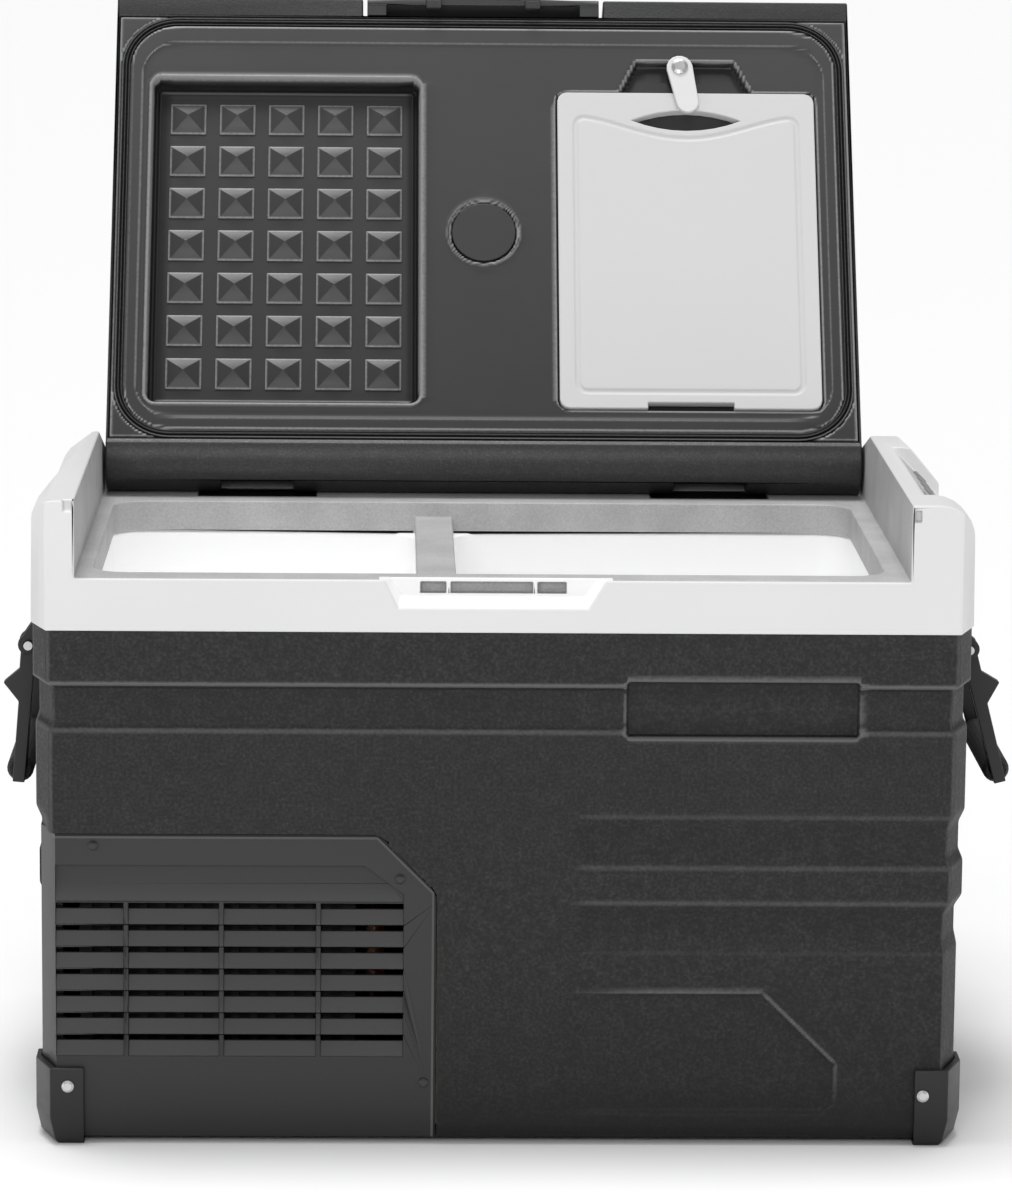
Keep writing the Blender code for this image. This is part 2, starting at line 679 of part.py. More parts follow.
def rim_outline(flare, top, left_radius, right_radius):
    """The frame seen from the front: straight feet and round outer shoulders."""
    half = HALF_WIDTH + flare
    left = arc((-half + 1 + left_radius, top - left_radius), left_radius, 180, 90, 6)
    right = arc((half - 1 - right_radius, top - right_radius), right_radius, 90, 0, 6)
    return [(-half, SHELL_TOP + GAP)] + left + right + [(half, SHELL_TOP + GAP)]


frame = piece("top_frame", along_y(rim_outline(FRAME_FLARE, RIM_TOP, LEFT_RIM_RADIUS, RIGHT_RIM_RADIUS),
                                   FRONT - FRAME_FLARE, BACK + FRAME_FLARE), FRAME_GREY)
half_x = HALF_WIDTH + FRAME_FLARE
half_y = HALF_DEPTH + FRAME_FLARE
WEDGE_MARGIN = 5.0
slant = CORNER_BACK / CORNER_ACROSS
wedge_across = CORNER_ACROSS + 2 * WEDGE_MARGIN
wedges = []
for flip_x in (1, -1):
    for flip_y in (1, -1):
        tip = (half_x + WEDGE_MARGIN, half_y + WEDGE_MARGIN * slant)
        corner = [(flip_x * (tip[0] - a), flip_y * (tip[1] - b)) for a, b in
                  [(0.0, 0.0), (wedge_across, 0.0), (0.0, wedge_across * slant)]]
        wedges.append(along_z(corner, SHELL_TOP - 9, RIM_TOP + 9))
cut(frame, gathered(wedges))


def shoulder_wedge(sign):
    """The outer shoulder of a side rail, cut away along a flat that deepens towards the back."""
    def section(y, down, across):
        corner = (sign * half_x, RIM_TOP)
        run = (across / down) * WEDGE_MARGIN
        rise = (down / across) * WEDGE_MARGIN
        return [(corner[0] + sign * WEDGE_MARGIN, y, corner[1] - down - rise),
                (corner[0] - sign * (across + run), y, corner[1] + WEDGE_MARGIN),
                (corner[0] + sign * WEDGE_MARGIN, y, corner[1] + WEDGE_MARGIN)]
    down, across = SHOULDER_CUT
    return loft([section(FRONT - 9, 0.2 * down, 0.2 * across), section(SHOULDER_END, down, across),
                 section(BACK + 9, down, across)])


SHOULDER_END = 100.0
for sign in (-1, 1):
    cut(frame, shoulder_wedge(sign))

# The lid's bay, with a cradle for the lid's round back edge, open at the front
lean = math.radians(LID_OPEN_ANGLE - 90.0)
up_back = (math.sin(lean), math.cos(lean))
cradle = arc((HINGE_Y, HINGE_Z), BARREL_RADIUS + 0.4, -90.0, -math.degrees(lean), 8)
tangent = cradle[-1]
BAY_SIDE_VIEW = [(FRONT - 9, LEDGE_Z), *cradle,
                 (tangent[0] + 70 * up_back[0], tangent[1] + 70 * up_back[1]), (FRONT - 9, HINGE_Z + 80)]
cut(frame, along_x(BAY_SIDE_VIEW, BAY_LEFT, BAY_RIGHT))
cut(frame, along_x([(REAR_SLOPE_START, RIM_TOP), (BACK + 9, REAR_RIM_TOP - 2.0), (BACK + 9, RIM_TOP + 9),
                    (REAR_SLOPE_START, RIM_TOP + 9)], -HALF_WIDTH - 9, HALF_WIDTH + 9))
opening = rounded(OPENING_LEFT, OPENING_RIGHT, OPENING_FRONT, OPENING_BACK, OPENING_RADIUS, 5)
cut(frame, along_z(opening, SHELL_TOP - 9, LEDGE_Z + 9))

# The hollow underside around the collar
UNDER_RADIUS = 26.0
SEAT_ROOM = 10.0
SEAT_RADIUS = 30.0
collar = rounded(OPENING_LEFT - COLLAR_WALL, OPENING_RIGHT + COLLAR_WALL, OPENING_FRONT - COLLAR_WALL,
                 OPENING_BACK + COLLAR_WALL, OPENING_RADIUS + COLLAR_WALL, 5)
under = rounded(-HALF_WIDTH + FRAME_WALL, HALF_WIDTH - FRAME_WALL, FRONT + FRAME_WALL, BACK - FRAME_WALL,
                UNDER_RADIUS, 5)
cut(frame, ring_prism(under, collar, SHELL_TOP - 9, LEDGE_Z - LEDGE_THICKNESS))
liner_seat = rounded(OPENING_LEFT - SEAT_ROOM, OPENING_RIGHT + SEAT_ROOM, OPENING_FRONT - SEAT_ROOM,
                     OPENING_BACK + SEAT_ROOM, SEAT_RADIUS, 5)
cut(frame, along_z(liner_seat, SHELL_TOP - 9, COLLAR_BOTTOM))

# A small pocket in the top of each front pillar, beside the lid
PILLAR_POCKETS = {"left": (BAY_LEFT - 7.0, BAY_LEFT - 1.5, RIM_TOP - 7.0, RIM_TOP + 5.0),
                  "right": (BAY_RIGHT + 1.5, BAY_RIGHT + 6.0, RIM_TOP - 11.0, RIM_TOP - 3.5)}
for x0, x1, z0, z1 in PILLAR_POCKETS.values():
    cut(frame, box(x0, x1, FRONT - 9, FRONT + 5.0, z0, z1))

# The finger recess in the front wall with solid frame behind it, and the keeper windows in its back
RECESS_TOP = (-80.0, 69.0)
RECESS_FOOT = (-69.0, 55.0)
RECESS_DEPTH = 11.0
RECESS_FOOT_Z = 357.0
join(frame, box(RECESS_TOP[0] - FRAME_WALL, RECESS_TOP[1] + FRAME_WALL, FRONT + 1,
                FRONT + RECESS_DEPTH + FRAME_WALL, COLLAR_BOTTOM + GAP, LEDGE_Z - 1))


def recess_ring(y, side, foot_rise, lean):
    """The finger recess at one depth: drawn in at the sides, its foot higher and its head leaning in."""
    foot_z = RECESS_FOOT_Z + foot_rise
    head_z = LEDGE_Z + 3
    return [(RECESS_FOOT[0] + side, y, foot_z), (RECESS_FOOT[1] - side, y, foot_z),
            (RECESS_TOP[1] - lean, y, head_z), (RECESS_TOP[0] + lean, y, head_z)]


cut(frame, loft([recess_ring(FRONT - 3, 0, 0, 0), recess_ring(FRONT + RECESS_DEPTH, 3, 8, 5)], split=True))
WINDOW = (-54.0, 40.0)
WINDOW_Z = (366.0, 373.6)
WINDOW_RIBS = (-36.0, 20.0)
WINDOW_RIB_HALF = 1.5
window_edges = [WINDOW[0]]
for rib in WINDOW_RIBS:
    window_edges += [rib - WINDOW_RIB_HALF, rib + WINDOW_RIB_HALF]
window_edges.append(WINDOW[1])
cut(frame, gathered([box(x0, x1, FRONT + RECESS_DEPTH - 4, OPENING_FRONT - COLLAR_WALL - 2, *WINDOW_Z)
                     for x0, x1 in zip(window_edges[0::2], window_edges[1::2])]))

# The divider's cap, moulded across the opening
join(frame, box(DIVIDER_LEFT + 1, DIVIDER_RIGHT - 1, OPENING_FRONT - 2, OPENING_BACK + 2, COLLAR_BOTTOM + GAP,
                DIVIDER_TOP))

# ---------------------------------------------------------------- lid

hinge = pivot("lid_pivot", (LID_X, HINGE_Y, HINGE_Z), (-LID_OPEN_ANGLE, 0.0, 0.0))
LID_HALF = LID_WIDTH / 2
lid_edge = arc((-LID_REACH + LID_EDGE_RADIUS, BARREL_RADIUS - LID_EDGE_RADIUS), LID_EDGE_RADIUS, 90, 180, 4)
LID_SIDE = [(-LID_REACH, -LID_RIM_DROP), *reversed(lid_edge), *arc((0.0, 0.0), BARREL_RADIUS, 90, -90, 16),
            (-2.0, -LID_RIM_DROP)]
lid = piece("lid_outer", along_x(LID_SIDE, -LID_HALF, LID_HALF), LID_BLACK, hinge)
PANEL_HALF = LID_HALF - 2.2
PANEL_BACK_V = 3.0
PANEL_FRONT_V = 339.0
PANEL_PLATE = 3.7
PANEL_TOP = -LID_RIM_DROP + PANEL_PLATE
cut(lid, box(-LID_HALF + 5, LID_HALF - 5, -PANEL_FRONT_V + 3, -6.0, -40.0, BARREL_RADIUS - LID_TOP_WALL))
cut(lid, box(-PANEL_HALF - GAP, PANEL_HALF + GAP, -PANEL_FRONT_V - GAP, -PANEL_BACK_V + GAP, -40.0,
             PANEL_TOP + GAP))
cut(lid, box(-LATCH_WIDTH / 2 - LATCH_GAP, LATCH_WIDTH / 2 + LATCH_GAP, -LID_REACH - 9, -LATCH_V, -40.0,
             16.0))

# Hinge slots: the fixed knuckle swings through them as the lid turns
REACH_CLEAR = KNUCKLE_RADIUS + 1.0
sweep = math.radians(LID_OPEN_ANGLE)
swing = (math.cos(sweep), math.sin(sweep))
edge_angle = LID_OPEN_ANGLE + 90.0 - 360.0
hinge_slot = [(50.0, -REACH_CLEAR), (0.0, -REACH_CLEAR),
              *arc((0.0, 0.0), REACH_CLEAR, -90.0, edge_angle, 4)[1:]]
last = hinge_slot[-1]
hinge_slot += [(last[0] + 48 * swing[0], last[1] + 48 * swing[1]), (50.0, last[1] + 48 * swing[1])]
HINGE_CENTRES = {"left": -HINGE_SPACING, "right": HINGE_SPACING}


def pin_bore(u, radius, half):
    return shifted(moved(turned([(radius, -half), (radius, half)], 20), Matrix.Rotation(math.pi / 2, 4, "Y")),
                   x=u)


for side, u in HINGE_CENTRES.items():
    cut(lid, along_x(hinge_slot, u - KNUCKLE_WIDTH / 2 - ROOM, u + KNUCKLE_WIDTH / 2 + ROOM))
    cut(lid, pin_bore(u, HINGE_PIN_RADIUS + GAP, KNUCKLE_WIDTH / 2 + HINGE_PIN_GRIP + 2 * ROOM))

# Inner panel with the pyramid pocket, the board's recess and the finger scoop
panel = piece("lid_inner_panel", box(-PANEL_HALF, PANEL_HALF, -PANEL_FRONT_V, -PANEL_BACK_V, -LID_RIM_DROP,
                                     PANEL_TOP),
              LID_BLACK, hinge)
BOARD_FACE = -LID_RIM_DROP - 1.0
BOARD_BED = BOARD_FACE + BOARD_THICKNESS + GAP
board_bed = (BOARD_U[0] - 1, BOARD_U[1] + 1, -BOARD_V[1] - 1, -BOARD_V[0] + 1)
scoop_centre = sum(BOARD_U) / 2
scoop = [(scoop_centre - SCOOP_WIDTHS[0] / 2, -SCOOP_V), (scoop_centre + SCOOP_WIDTHS[0] / 2, -SCOOP_V),
         (scoop_centre + SCOOP_WIDTHS[1] / 2, -BOARD_V[1]), (scoop_centre - SCOOP_WIDTHS[1] / 2, -BOARD_V[1])]
scoop_back = [(scoop_centre - SCOOP_WIDTHS[0] / 2 - 4, -SCOOP_V - 4), (scoop_centre + SCOOP_WIDTHS[0] / 2 + 4,
                                                                     -SCOOP_V - 4),
              (scoop_centre + SCOOP_WIDTHS[1] / 2 + 4, -BOARD_V[1] + 3),
              (scoop_centre - SCOOP_WIDTHS[1] / 2 - 4,
                                                                        -BOARD_V[1] + 3)]
pocket_floor = -LID_RIM_DROP + POCKET_DEPTH
join(panel, box(POCKET_U[0] - PANEL_SKIN, POCKET_U[1] + PANEL_SKIN, -POCKET_V[1] - PANEL_SKIN,
                -POCKET_V[0] + PANEL_SKIN, PANEL_TOP - 1, pocket_floor + PANEL_SKIN))
join(panel, box(board_bed[0] - PANEL_SKIN, board_bed[1] + PANEL_SKIN, board_bed[2] - PANEL_SKIN,
                board_bed[3] + PANEL_SKIN, PANEL_TOP - 1, BOARD_BED + PANEL_SKIN))
join(panel, along_z(scoop_back, PANEL_TOP - 0.9, BOARD_BED + PANEL_SKIN - 0.1))
cut(panel, box(*POCKET_U, -POCKET_V[1], -POCKET_V[0], -40.0, pocket_floor))
cut(panel, along_z(rounded(*board_bed, BOARD_RADIUS + 1, 3), -40.0, BOARD_BED))
cut(panel, along_z(scoop, -40.0, BOARD_BED - 0.1))


def pyramid(u, v):
    half_u, half_v = PYRAMID_BASE[0] / 2, PYRAMID_BASE[1] / 2
    tip = 0.8
    return loft([[(x, y, pocket_floor + 1.0) for x, y in rectangle(u - half_u, u + half_u, -v - half_v,
                                                                   -v + half_v)],
                 [(x, y, pocket_floor - PYRAMID_HEIGHT) for x,
                  y in rectangle(u - tip, u + tip, -v - tip, -v + tip)]])


join(panel, gathered([pyramid(PYRAMID_FIRST[0] + column * PYRAMID_PITCH[0],
                              PYRAMID_FIRST[1] + row * PYRAMID_PITCH[1])
                      for column in range(PYRAMID_COLUMNS) for row in range(PYRAMID_ROWS)]))


def gasket_line(inset):
    return rounded(-GASKET_OUTER + inset, GASKET_OUTER - inset, -GASKET_FRONT + inset, -GASKET_BACK - inset,
                   GASKET_RADIUS - inset, 6)


groove_floor = -LID_RIM_DROP + GASKET_GROOVE
cut(panel, ring_prism(gasket_line(-GAP), gasket_line(GASKET_WIDTH + GAP), -40.0, groove_floor))
piece("lid_gasket", ring_prism(gasket_line(0.0), gasket_line(GASKET_WIDTH), -BARREL_RADIUS + GAP,
                               groove_floor - GAP),
      RUBBER, hinge)

BOSS_RADIUS = 8.0
boss = turned([(BOSS_RADIUS + 1, 0.0), (BOSS_RADIUS, BOARD_BED + 1 - BOARD_FACE)], 20)
join(panel, shifted(boss, x=CLIP_U, y=-CLIP_V, z=BOARD_FACE))
cut(panel, shifted(turned([(SCREW_SHANK_RADIUS + GAP, -30.0), (SCREW_SHANK_RADIUS + GAP, 9.5)], 12),
                   x=CLIP_U, y=-CLIP_V, z=BOARD_FACE))
cut(panel, shifted(turned([(CAP_RADIUS + GAP, -20.0), (CAP_RADIUS + GAP, 20.0)], 32), y=-CAP_V,
                   z=-LID_RIM_DROP))
port = piece("foam_port_cap", turned([(CAP_RADIUS, 0.0), (CAP_RADIUS, PANEL_PLATE - GAP)], 32), LID_BLACK,
             hinge)
port.location = Vector((0.0, -CAP_V, -LID_RIM_DROP - 0.5)) * MM

# Insulation inside the lid
lid_foam = piece("lid_foam", box(-LID_HALF + 6, LID_HALF - 6, -PANEL_FRONT_V + 4, -7.0, PANEL_TOP + 2 * GAP,
                                 BARREL_RADIUS - LID_TOP_WALL - GAP), FOAM_CREAM, hinge)
SKIN_ROOM = PANEL_SKIN + GAP
cut(lid_foam, box(POCKET_U[0] - SKIN_ROOM, POCKET_U[1] + SKIN_ROOM, -POCKET_V[1] - SKIN_ROOM,
                  -POCKET_V[0] + SKIN_ROOM, -40.0, pocket_floor + SKIN_ROOM))
cut(lid_foam, box(board_bed[0] - SKIN_ROOM, board_bed[1] + SKIN_ROOM, -SCOOP_V - 5, board_bed[3] + SKIN_ROOM,
                  -40.0, BOARD_BED + SKIN_ROOM))
for side, u in HINGE_CENTRES.items():
    cut(lid_foam, box(u - KNUCKLE_WIDTH / 2 - 4, u + KNUCKLE_WIDTH / 2 + 4, -50.0, 0.0, -40.0, 40.0))

# Cutting board
board = piece("cutting_board", along_z(rounded(*BOARD_U, -BOARD_V[1], -BOARD_V[0], BOARD_RADIUS, 3),
                                       BOARD_FACE,
                                       BOARD_FACE + BOARD_THICKNESS), BOARD_GREY, hinge)
half_hole = BOARD_HOLE[0] / 2
lens_radius = (half_hole ** 2 + (BOARD_HOLE[1] / 2) ** 2) / BOARD_HOLE[1]
lens_angle = math.degrees(math.asin(half_hole / lens_radius))
lens_shift = lens_radius - BOARD_HOLE[1] / 2
lens = arc((scoop_centre, -BOARD_HOLE_V + lens_shift), lens_radius, -90 - lens_angle, -90 + lens_angle,
           8)[:-1]
lens += arc((scoop_centre, -BOARD_HOLE_V - lens_shift), lens_radius, 90 - lens_angle, 90 + lens_angle, 8)[:-1]
cut(board, along_z(lens, -60.0, 0.0))
cut(board, box(scoop_centre - BOARD_NOTCH[0] / 2, scoop_centre + BOARD_NOTCH[0] / 2,
               -BOARD_V[0] - BOARD_NOTCH[1],
               -BOARD_V[0] + 9, -60.0, 0.0))

# The board's turn clip, its origin on its screw
clip_pivot = pivot("clip_pivot", (CLIP_U, -CLIP_V, BOARD_FACE - GAP), parent=hinge)
clip_turn = math.radians(CLIP_TURN)
tail = CLIP_LENGTH - CLIP_WIDTH
clip_line = arc((0.0, 0.0), CLIP_WIDTH / 2, 180, 360, 8) + arc((0.0, tail), CLIP_WIDTH / 2 - 1.5, 0, 180, 8)
clip = piece("board_clip", moved(along_z(clip_line, -CLIP_THICKNESS, 0.0),
                                 Matrix.Rotation(-clip_turn, 4, "Z")),
             CLIP_GREY, clip_pivot)
cut(clip, turned([(SCREW_SHANK_RADIUS + GAP, -20.0), (SCREW_SHANK_RADIUS + GAP, 5.0)], 16))
screw("clip_screw", (0.0, 0.0, -CLIP_THICKNESS - GAP), (0.0, 0.0, -1.0), STEEL, clip_pivot,
      head=CLIP_SCREW_HEAD, reach=CLIP_THICKNESS + 6.0)

# ---------------------------------------------------------------- latch

LATCH_PIN_IN = 7.0
latch_pivot = pivot("latch_pivot", (0.0, -LATCH_V - LATCH_PIN_IN, LATCH_PIN_RISE), parent=hinge)
lever_foot = -BARREL_RADIUS + 1.5 - LATCH_PIN_RISE
LEVER_SIDE = [(-7.0, lever_foot), (-7.0, -3.0), *arc((0.0, 0.0), 4.0, 180, 0, 6), (4.0, -12.0), (0.0, -18.0),
              (-2.5, lever_foot)]
lever = piece("lid_latch", along_x(LEVER_SIDE, -LATCH_WIDTH / 2, LATCH_WIDTH / 2), SMOOTH_BLACK, latch_pivot)
BLOCK = 14.0
for sign in (-1, 1):
    ends = sorted((sign * LATCH_WIDTH / 2, sign * (LATCH_WIDTH / 2 - BLOCK)))
    join(lever, box(*ends, -6.9, 6.2, lever_foot + 0.1, -13.0))
    hook = [(-6.5, -HOOK_LENGTH), (-0.5, -HOOK_LENGTH), (3.4, -HOOK_LENGTH + 4.0), (3.4, -HOOK_LENGTH + 6.0),
            (0.5, -HOOK_LENGTH + 6.0), (0.5, 3.0), (-6.5, 3.0)]
    join(lever, along_x([(y, z + lever_foot) for y, z in hook], sign * HOOK_U - HOOK_WIDTH / 2,
                        sign * HOOK_U + HOOK_WIDTH / 2))
cut(lever, pin_bore(0.0, LATCH_PIN_RADIUS + GAP, LATCH_WIDTH))
piece("latch_pin", pin_bore(0.0, LATCH_PIN_RADIUS, LATCH_WIDTH / 2 + LATCH_GAP + 5.0), STEEL, latch_pivot)
cut(lid, shifted(pin_bore(0.0, LATCH_PIN_RADIUS + GAP, LATCH_WIDTH / 2 + LATCH_GAP + 6.0),
                 y=-LATCH_V - LATCH_PIN_IN, z=LATCH_PIN_RISE))

# ---------------------------------------------------------------- hinges

plate_y = BARREL_RADIUS + 1.0
plate_back = plate_y + BRACKET_THICKNESS
plate_head = -9.0           # kept below the open lid's outer face
plate_foot = -BARREL_RADIUS - 3.5
knuckle = [*arc((0.0, 0.0), KNUCKLE_RADIUS, 48.6, 311.4, 14), (plate_y, -6.0), (plate_y, plate_head - 3.0),
           (plate_back - 0.1, plate_head - 3.0), (plate_back - 0.1, 6.0)]
hinge_angle = [(plate_y, plate_head), (plate_y, plate_foot), (-20.0, plate_foot),
               (-20.0, plate_foot - BRACKET_THICKNESS),
               (plate_back, plate_foot - BRACKET_THICKNESS), (plate_back, plate_head)]
hinge_room = [(-20.0 - GAP, plate_foot - BRACKET_THICKNESS - GAP),
              (plate_back + GAP, plate_foot - BRACKET_THICKNESS - GAP), (plate_back + GAP, 60.0),
              (15.0, 60.0),
              (15.0, -BARREL_RADIUS), (-20.0 - GAP, -BARREL_RADIUS + 3)]
for side, u in HINGE_CENTRES.items():
    seat = pivot("hinge_seat_" + side, (LID_X + u, HINGE_Y, HINGE_Z))
    bracket = piece("hinge_bracket_" + side, along_x(hinge_angle, -HINGE_CUT_WIDTH / 2 + GAP,
                                                     HINGE_CUT_WIDTH / 2 - GAP), DARK_STEEL, seat)
    join(bracket, along_x(knuckle, -KNUCKLE_WIDTH / 2, KNUCKLE_WIDTH / 2))
    cut(bracket, pin_bore(0.0, HINGE_PIN_RADIUS + GAP, KNUCKLE_WIDTH))
    piece("hinge_pin_" + side, pin_bore(0.0, HINGE_PIN_RADIUS, KNUCKLE_WIDTH / 2 + HINGE_PIN_GRIP), STEEL,
          seat)
    room = along_x(hinge_room, -HINGE_CUT_WIDTH / 2, HINGE_CUT_WIDTH / 2)
    cut(frame, shifted(room, LID_X + u, HINGE_Y, HINGE_Z))

# ---------------------------------------------------------------- handles

ROD_END = HANDLE_SPAN / 2 + 14.0
ARM_Y = HANDLE_SPAN / 2
LUG_THICK = 5.0
FIN_DROP = 28.0
FIN_REACH = 11.0
BAR_RADIUS = 4.0
THROUGH = 300.0  # half the length of a cutter that goes right through
HANDLE_PIVOT_X = HALF_WIDTH + HANDLE_STAND_OFF


def rod_along_y(radius, half, sides):
    """A round rod along Y, as long both ways from the middle."""
    return moved(turned([(radius, -half), (radius, half)], sides), Matrix.Rotation(math.pi / 2, 4, "X"))


def handle(side, sign):
    """A wall bracket with two pairs of lugs, a rod through them, and a bail with its grip."""
    wall = HALF_WIDTH - UPPER_BAND_INSET
    seat = pivot("handle_seat_" + side, (sign * HANDLE_PIVOT_X, 0.0, HANDLE_PIVOT_Z))
    mirror = Matrix.Diagonal((sign, 1.0, 1.0, 1.0))
    back = wall + GAP - HANDLE_PIVOT_X
    bracket = piece("handle_bracket_" + side,
                    moved(box(back, back + BRACKET_PLATE, -ROD_END - 4, ROD_END + 4, -4.0, 22.0), mirror),
                    SMOOTH_BLACK, seat)
    lug = [(back + 1, -4.5), (3.0, -6.0), *arc((0.0, 0.0), 7.0, -60, 60, 6), (back + 2.9, 20.0),
           (back + 1, 20.0)]
    lugs = []
    for y in (-ARM_Y, ARM_Y):
        for offset in (-1, 1):
            middle = y + offset * (HANDLE_ARM_WIDTH / 2 + ROOM + LUG_THICK / 2)
            lugs.append(moved(along_y(lug, middle - LUG_THICK / 2, middle + LUG_THICK / 2), mirror))
    join(bracket, gathered(lugs))
    cut(bracket, rod_along_y(HANDLE_ROD_RADIUS + GAP, THROUGH, 16))
    piece("handle_rod_" + side, rod_along_y(HANDLE_ROD_RADIUS, ROD_END, 16), STEEL, seat)
    swing_pivot = pivot("handle_swing_" + side, (0.0, 0.0, 0.0), (0.0, -sign * HANDLE_REST[side], 0.0), seat)
    half = HANDLE_ARM_THICK / 2
    arm = [*arc((0.0, 0.0), half + 1.0, 0, 180, 8), (-half, -HANDLE_ARM - 7), (half, -HANDLE_ARM - 7),
           (half, -FIN_DROP - 12), (half + FIN_REACH, -FIN_DROP), (half + 1, -FIN_DROP + 10)]
    arms = [moved(along_y(arm, y - HANDLE_ARM_WIDTH / 2, y + HANDLE_ARM_WIDTH / 2), mirror)
            for y in (-ARM_Y, ARM_Y)]
    bail = piece("handle_bail_" + side, arms[0], SMOOTH_BLACK, swing_pivot)
    join(bail, arms[1])
    join(bail, shifted(rod_along_y(BAR_RADIUS, ARM_Y, 12), z=-HANDLE_ARM))
    cut(bail, rod_along_y(HANDLE_ROD_RADIUS + GAP, THROUGH, 16))
    grip_half = ARM_Y - HANDLE_ARM_WIDTH / 2 - GAP
    profile = [(HANDLE_GRIP_RADIUS - 2, -grip_half), (HANDLE_GRIP_RADIUS, -grip_half + 4),
               (HANDLE_GRIP_RADIUS, grip_half - 4), (HANDLE_GRIP_RADIUS - 2, grip_half)]
    grip = piece("handle_grip_" + side, shifted(moved(turned(profile, 20),
                                                      Matrix.Rotation(math.pi / 2, 4, "X")),
                                                z=-HANDLE_ARM), RUBBER, swing_pivot)
    cut(grip, shifted(rod_along_y(BAR_RADIUS + GAP, THROUGH, 12), z=-HANDLE_ARM))


handle("left", -1)
handle("right", 1)

# ---------------------------------------------------------------- control console in the right rim

CONSOLE_FRONT = FRONT + 44.0
CONSOLE_BACK = FRONT + 250.0
CONSOLE_TILT = 45.0
SLOPE_TOP = (BAY_RIGHT + 10.6, RIM_TOP)
SLOPE_LENGTH = 46.0
CONSOLE_PLATE = 3.0
console = pivot("console", (SLOPE_TOP[0] + SLOPE_LENGTH / 2 * math.cos(math.radians(CONSOLE_TILT)),
                            (CONSOLE_FRONT + CONSOLE_BACK) / 2,
                            SLOPE_TOP[1] - SLOPE_LENGTH / 2 * math.sin(math.radians(CONSOLE_TILT))),
                (0.0, CONSOLE_TILT, 0.0))
console_place = Matrix.Translation(console.location) @ Matrix.Rotation(math.radians(CONSOLE_TILT), 4, "Y")
half_console = (CONSOLE_BACK - CONSOLE_FRONT) / 2
PANEL_SPAN = (SLOPE_LENGTH / 2 - 5.0, half_console - 6.0)


def console_box(grow, low, high):
    return box(-PANEL_SPAN[0] - grow, PANEL_SPAN[0] + grow, -PANEL_SPAN[1] - grow, PANEL_SPAN[1] + grow, low,
               high)


cut(frame, moved(box(-40.0, 60.0, -half_console, half_console, 0.0, 60.0), console_place))
cut(frame, box(BAY_RIGHT + 4.0, HALF_WIDTH - 6.0, CONSOLE_FRONT + 6, CONSOLE_BACK - 6, SHELL_TOP + 12.0,
               SLOPE_TOP[1] - 40.0))
cut(frame, moved(console_box(-3.0, -16.0, 5.0), console_place))
cut(frame, moved(console_box(GAP, -CONSOLE_PLATE - 0.5 - GAP, 5.0), console_place))
control_panel = piece("control_panel", console_box(0.0, -CONSOLE_PLATE - 0.5, -0.5), SMOOTH_BLACK, console)
DISPLAY_S = (-16.0, 8.0)
DISPLAY_Y = (-half_console + 14.0, -half_console + 80.0)
BUTTON_FIRST = 102.0
BUTTON_PITCH = 24.0
cut(control_panel, box(*DISPLAY_S, *DISPLAY_Y, -9.0, 9.0))
piece("display_window", box(DISPLAY_S[0] + GAP, DISPLAY_S[1] - GAP, DISPLAY_Y[0] + GAP, DISPLAY_Y[1] - GAP,
                            -CONSOLE_PLATE, -0.8), DISPLAY_GLASS, console)
BUTTON_RADIUS = 6.0
BUTTON_NAMES = ("power", "set", "up", "down")
for number, name in enumerate(BUTTON_NAMES):
    y = -half_console + BUTTON_FIRST + number * BUTTON_PITCH
    cut(control_panel, shifted(turned([(BUTTON_RADIUS + GAP, -9.0), (BUTTON_RADIUS + GAP, 9.0)], 20), y=y))
    profile = [(BUTTON_RADIUS, -5.5), (BUTTON_RADIUS, 0.6), (BUTTON_RADIUS - 1.2, 1.4)]
    button = piece("button_" + name, turned(profile, 20), BUTTON_GREY, console)
    button.location = Vector((0.0, y, 0.0)) * MM
CONTROL_BOARD_Z = (-10.0, -8.4)
piece("control_board", box(-PANEL_SPAN[0] + 4, PANEL_SPAN[0] - 4, -PANEL_SPAN[1] + 8, PANEL_SPAN[1] - 8,
                           *CONTROL_BOARD_Z), BOARD_GREEN, console)

# ---------------------------------------------------------------- power inlet low on the back

INLET_X = -230.0
INLET_Z = 62.0
INLET_FACE = BACK - LOWER_INSET
INLET_SIZE = (44.0, 32.0)
INLET_FLANGE = 2.5
inlet_seat = pivot("inlet_seat", (INLET_X, INLET_FACE + GAP, INLET_Z))
inlet = piece("power_inlet", along_y(rounded(-INLET_SIZE[0] / 2, INLET_SIZE[0] / 2, -INLET_SIZE[1] / 2,
                                             INLET_SIZE[1] / 2, 5.0, 3), 0.0, INLET_FLANGE),
              SMOOTH_BLACK, inlet_seat)
SOCKET_HALF = (11.5, 6.5)
SOCKET_RADIUS = 3.0
SOCKET_WALL = 2.5


def socket_outline(grow):
    """The inlet's socket seen from behind, grown by a wall or a clearance."""
    half_width, half_height = SOCKET_HALF
    return rounded(-half_width - grow, half_width + grow, -half_height - grow, half_height + grow,
                   SOCKET_RADIUS + min(grow, 1.0), 3)


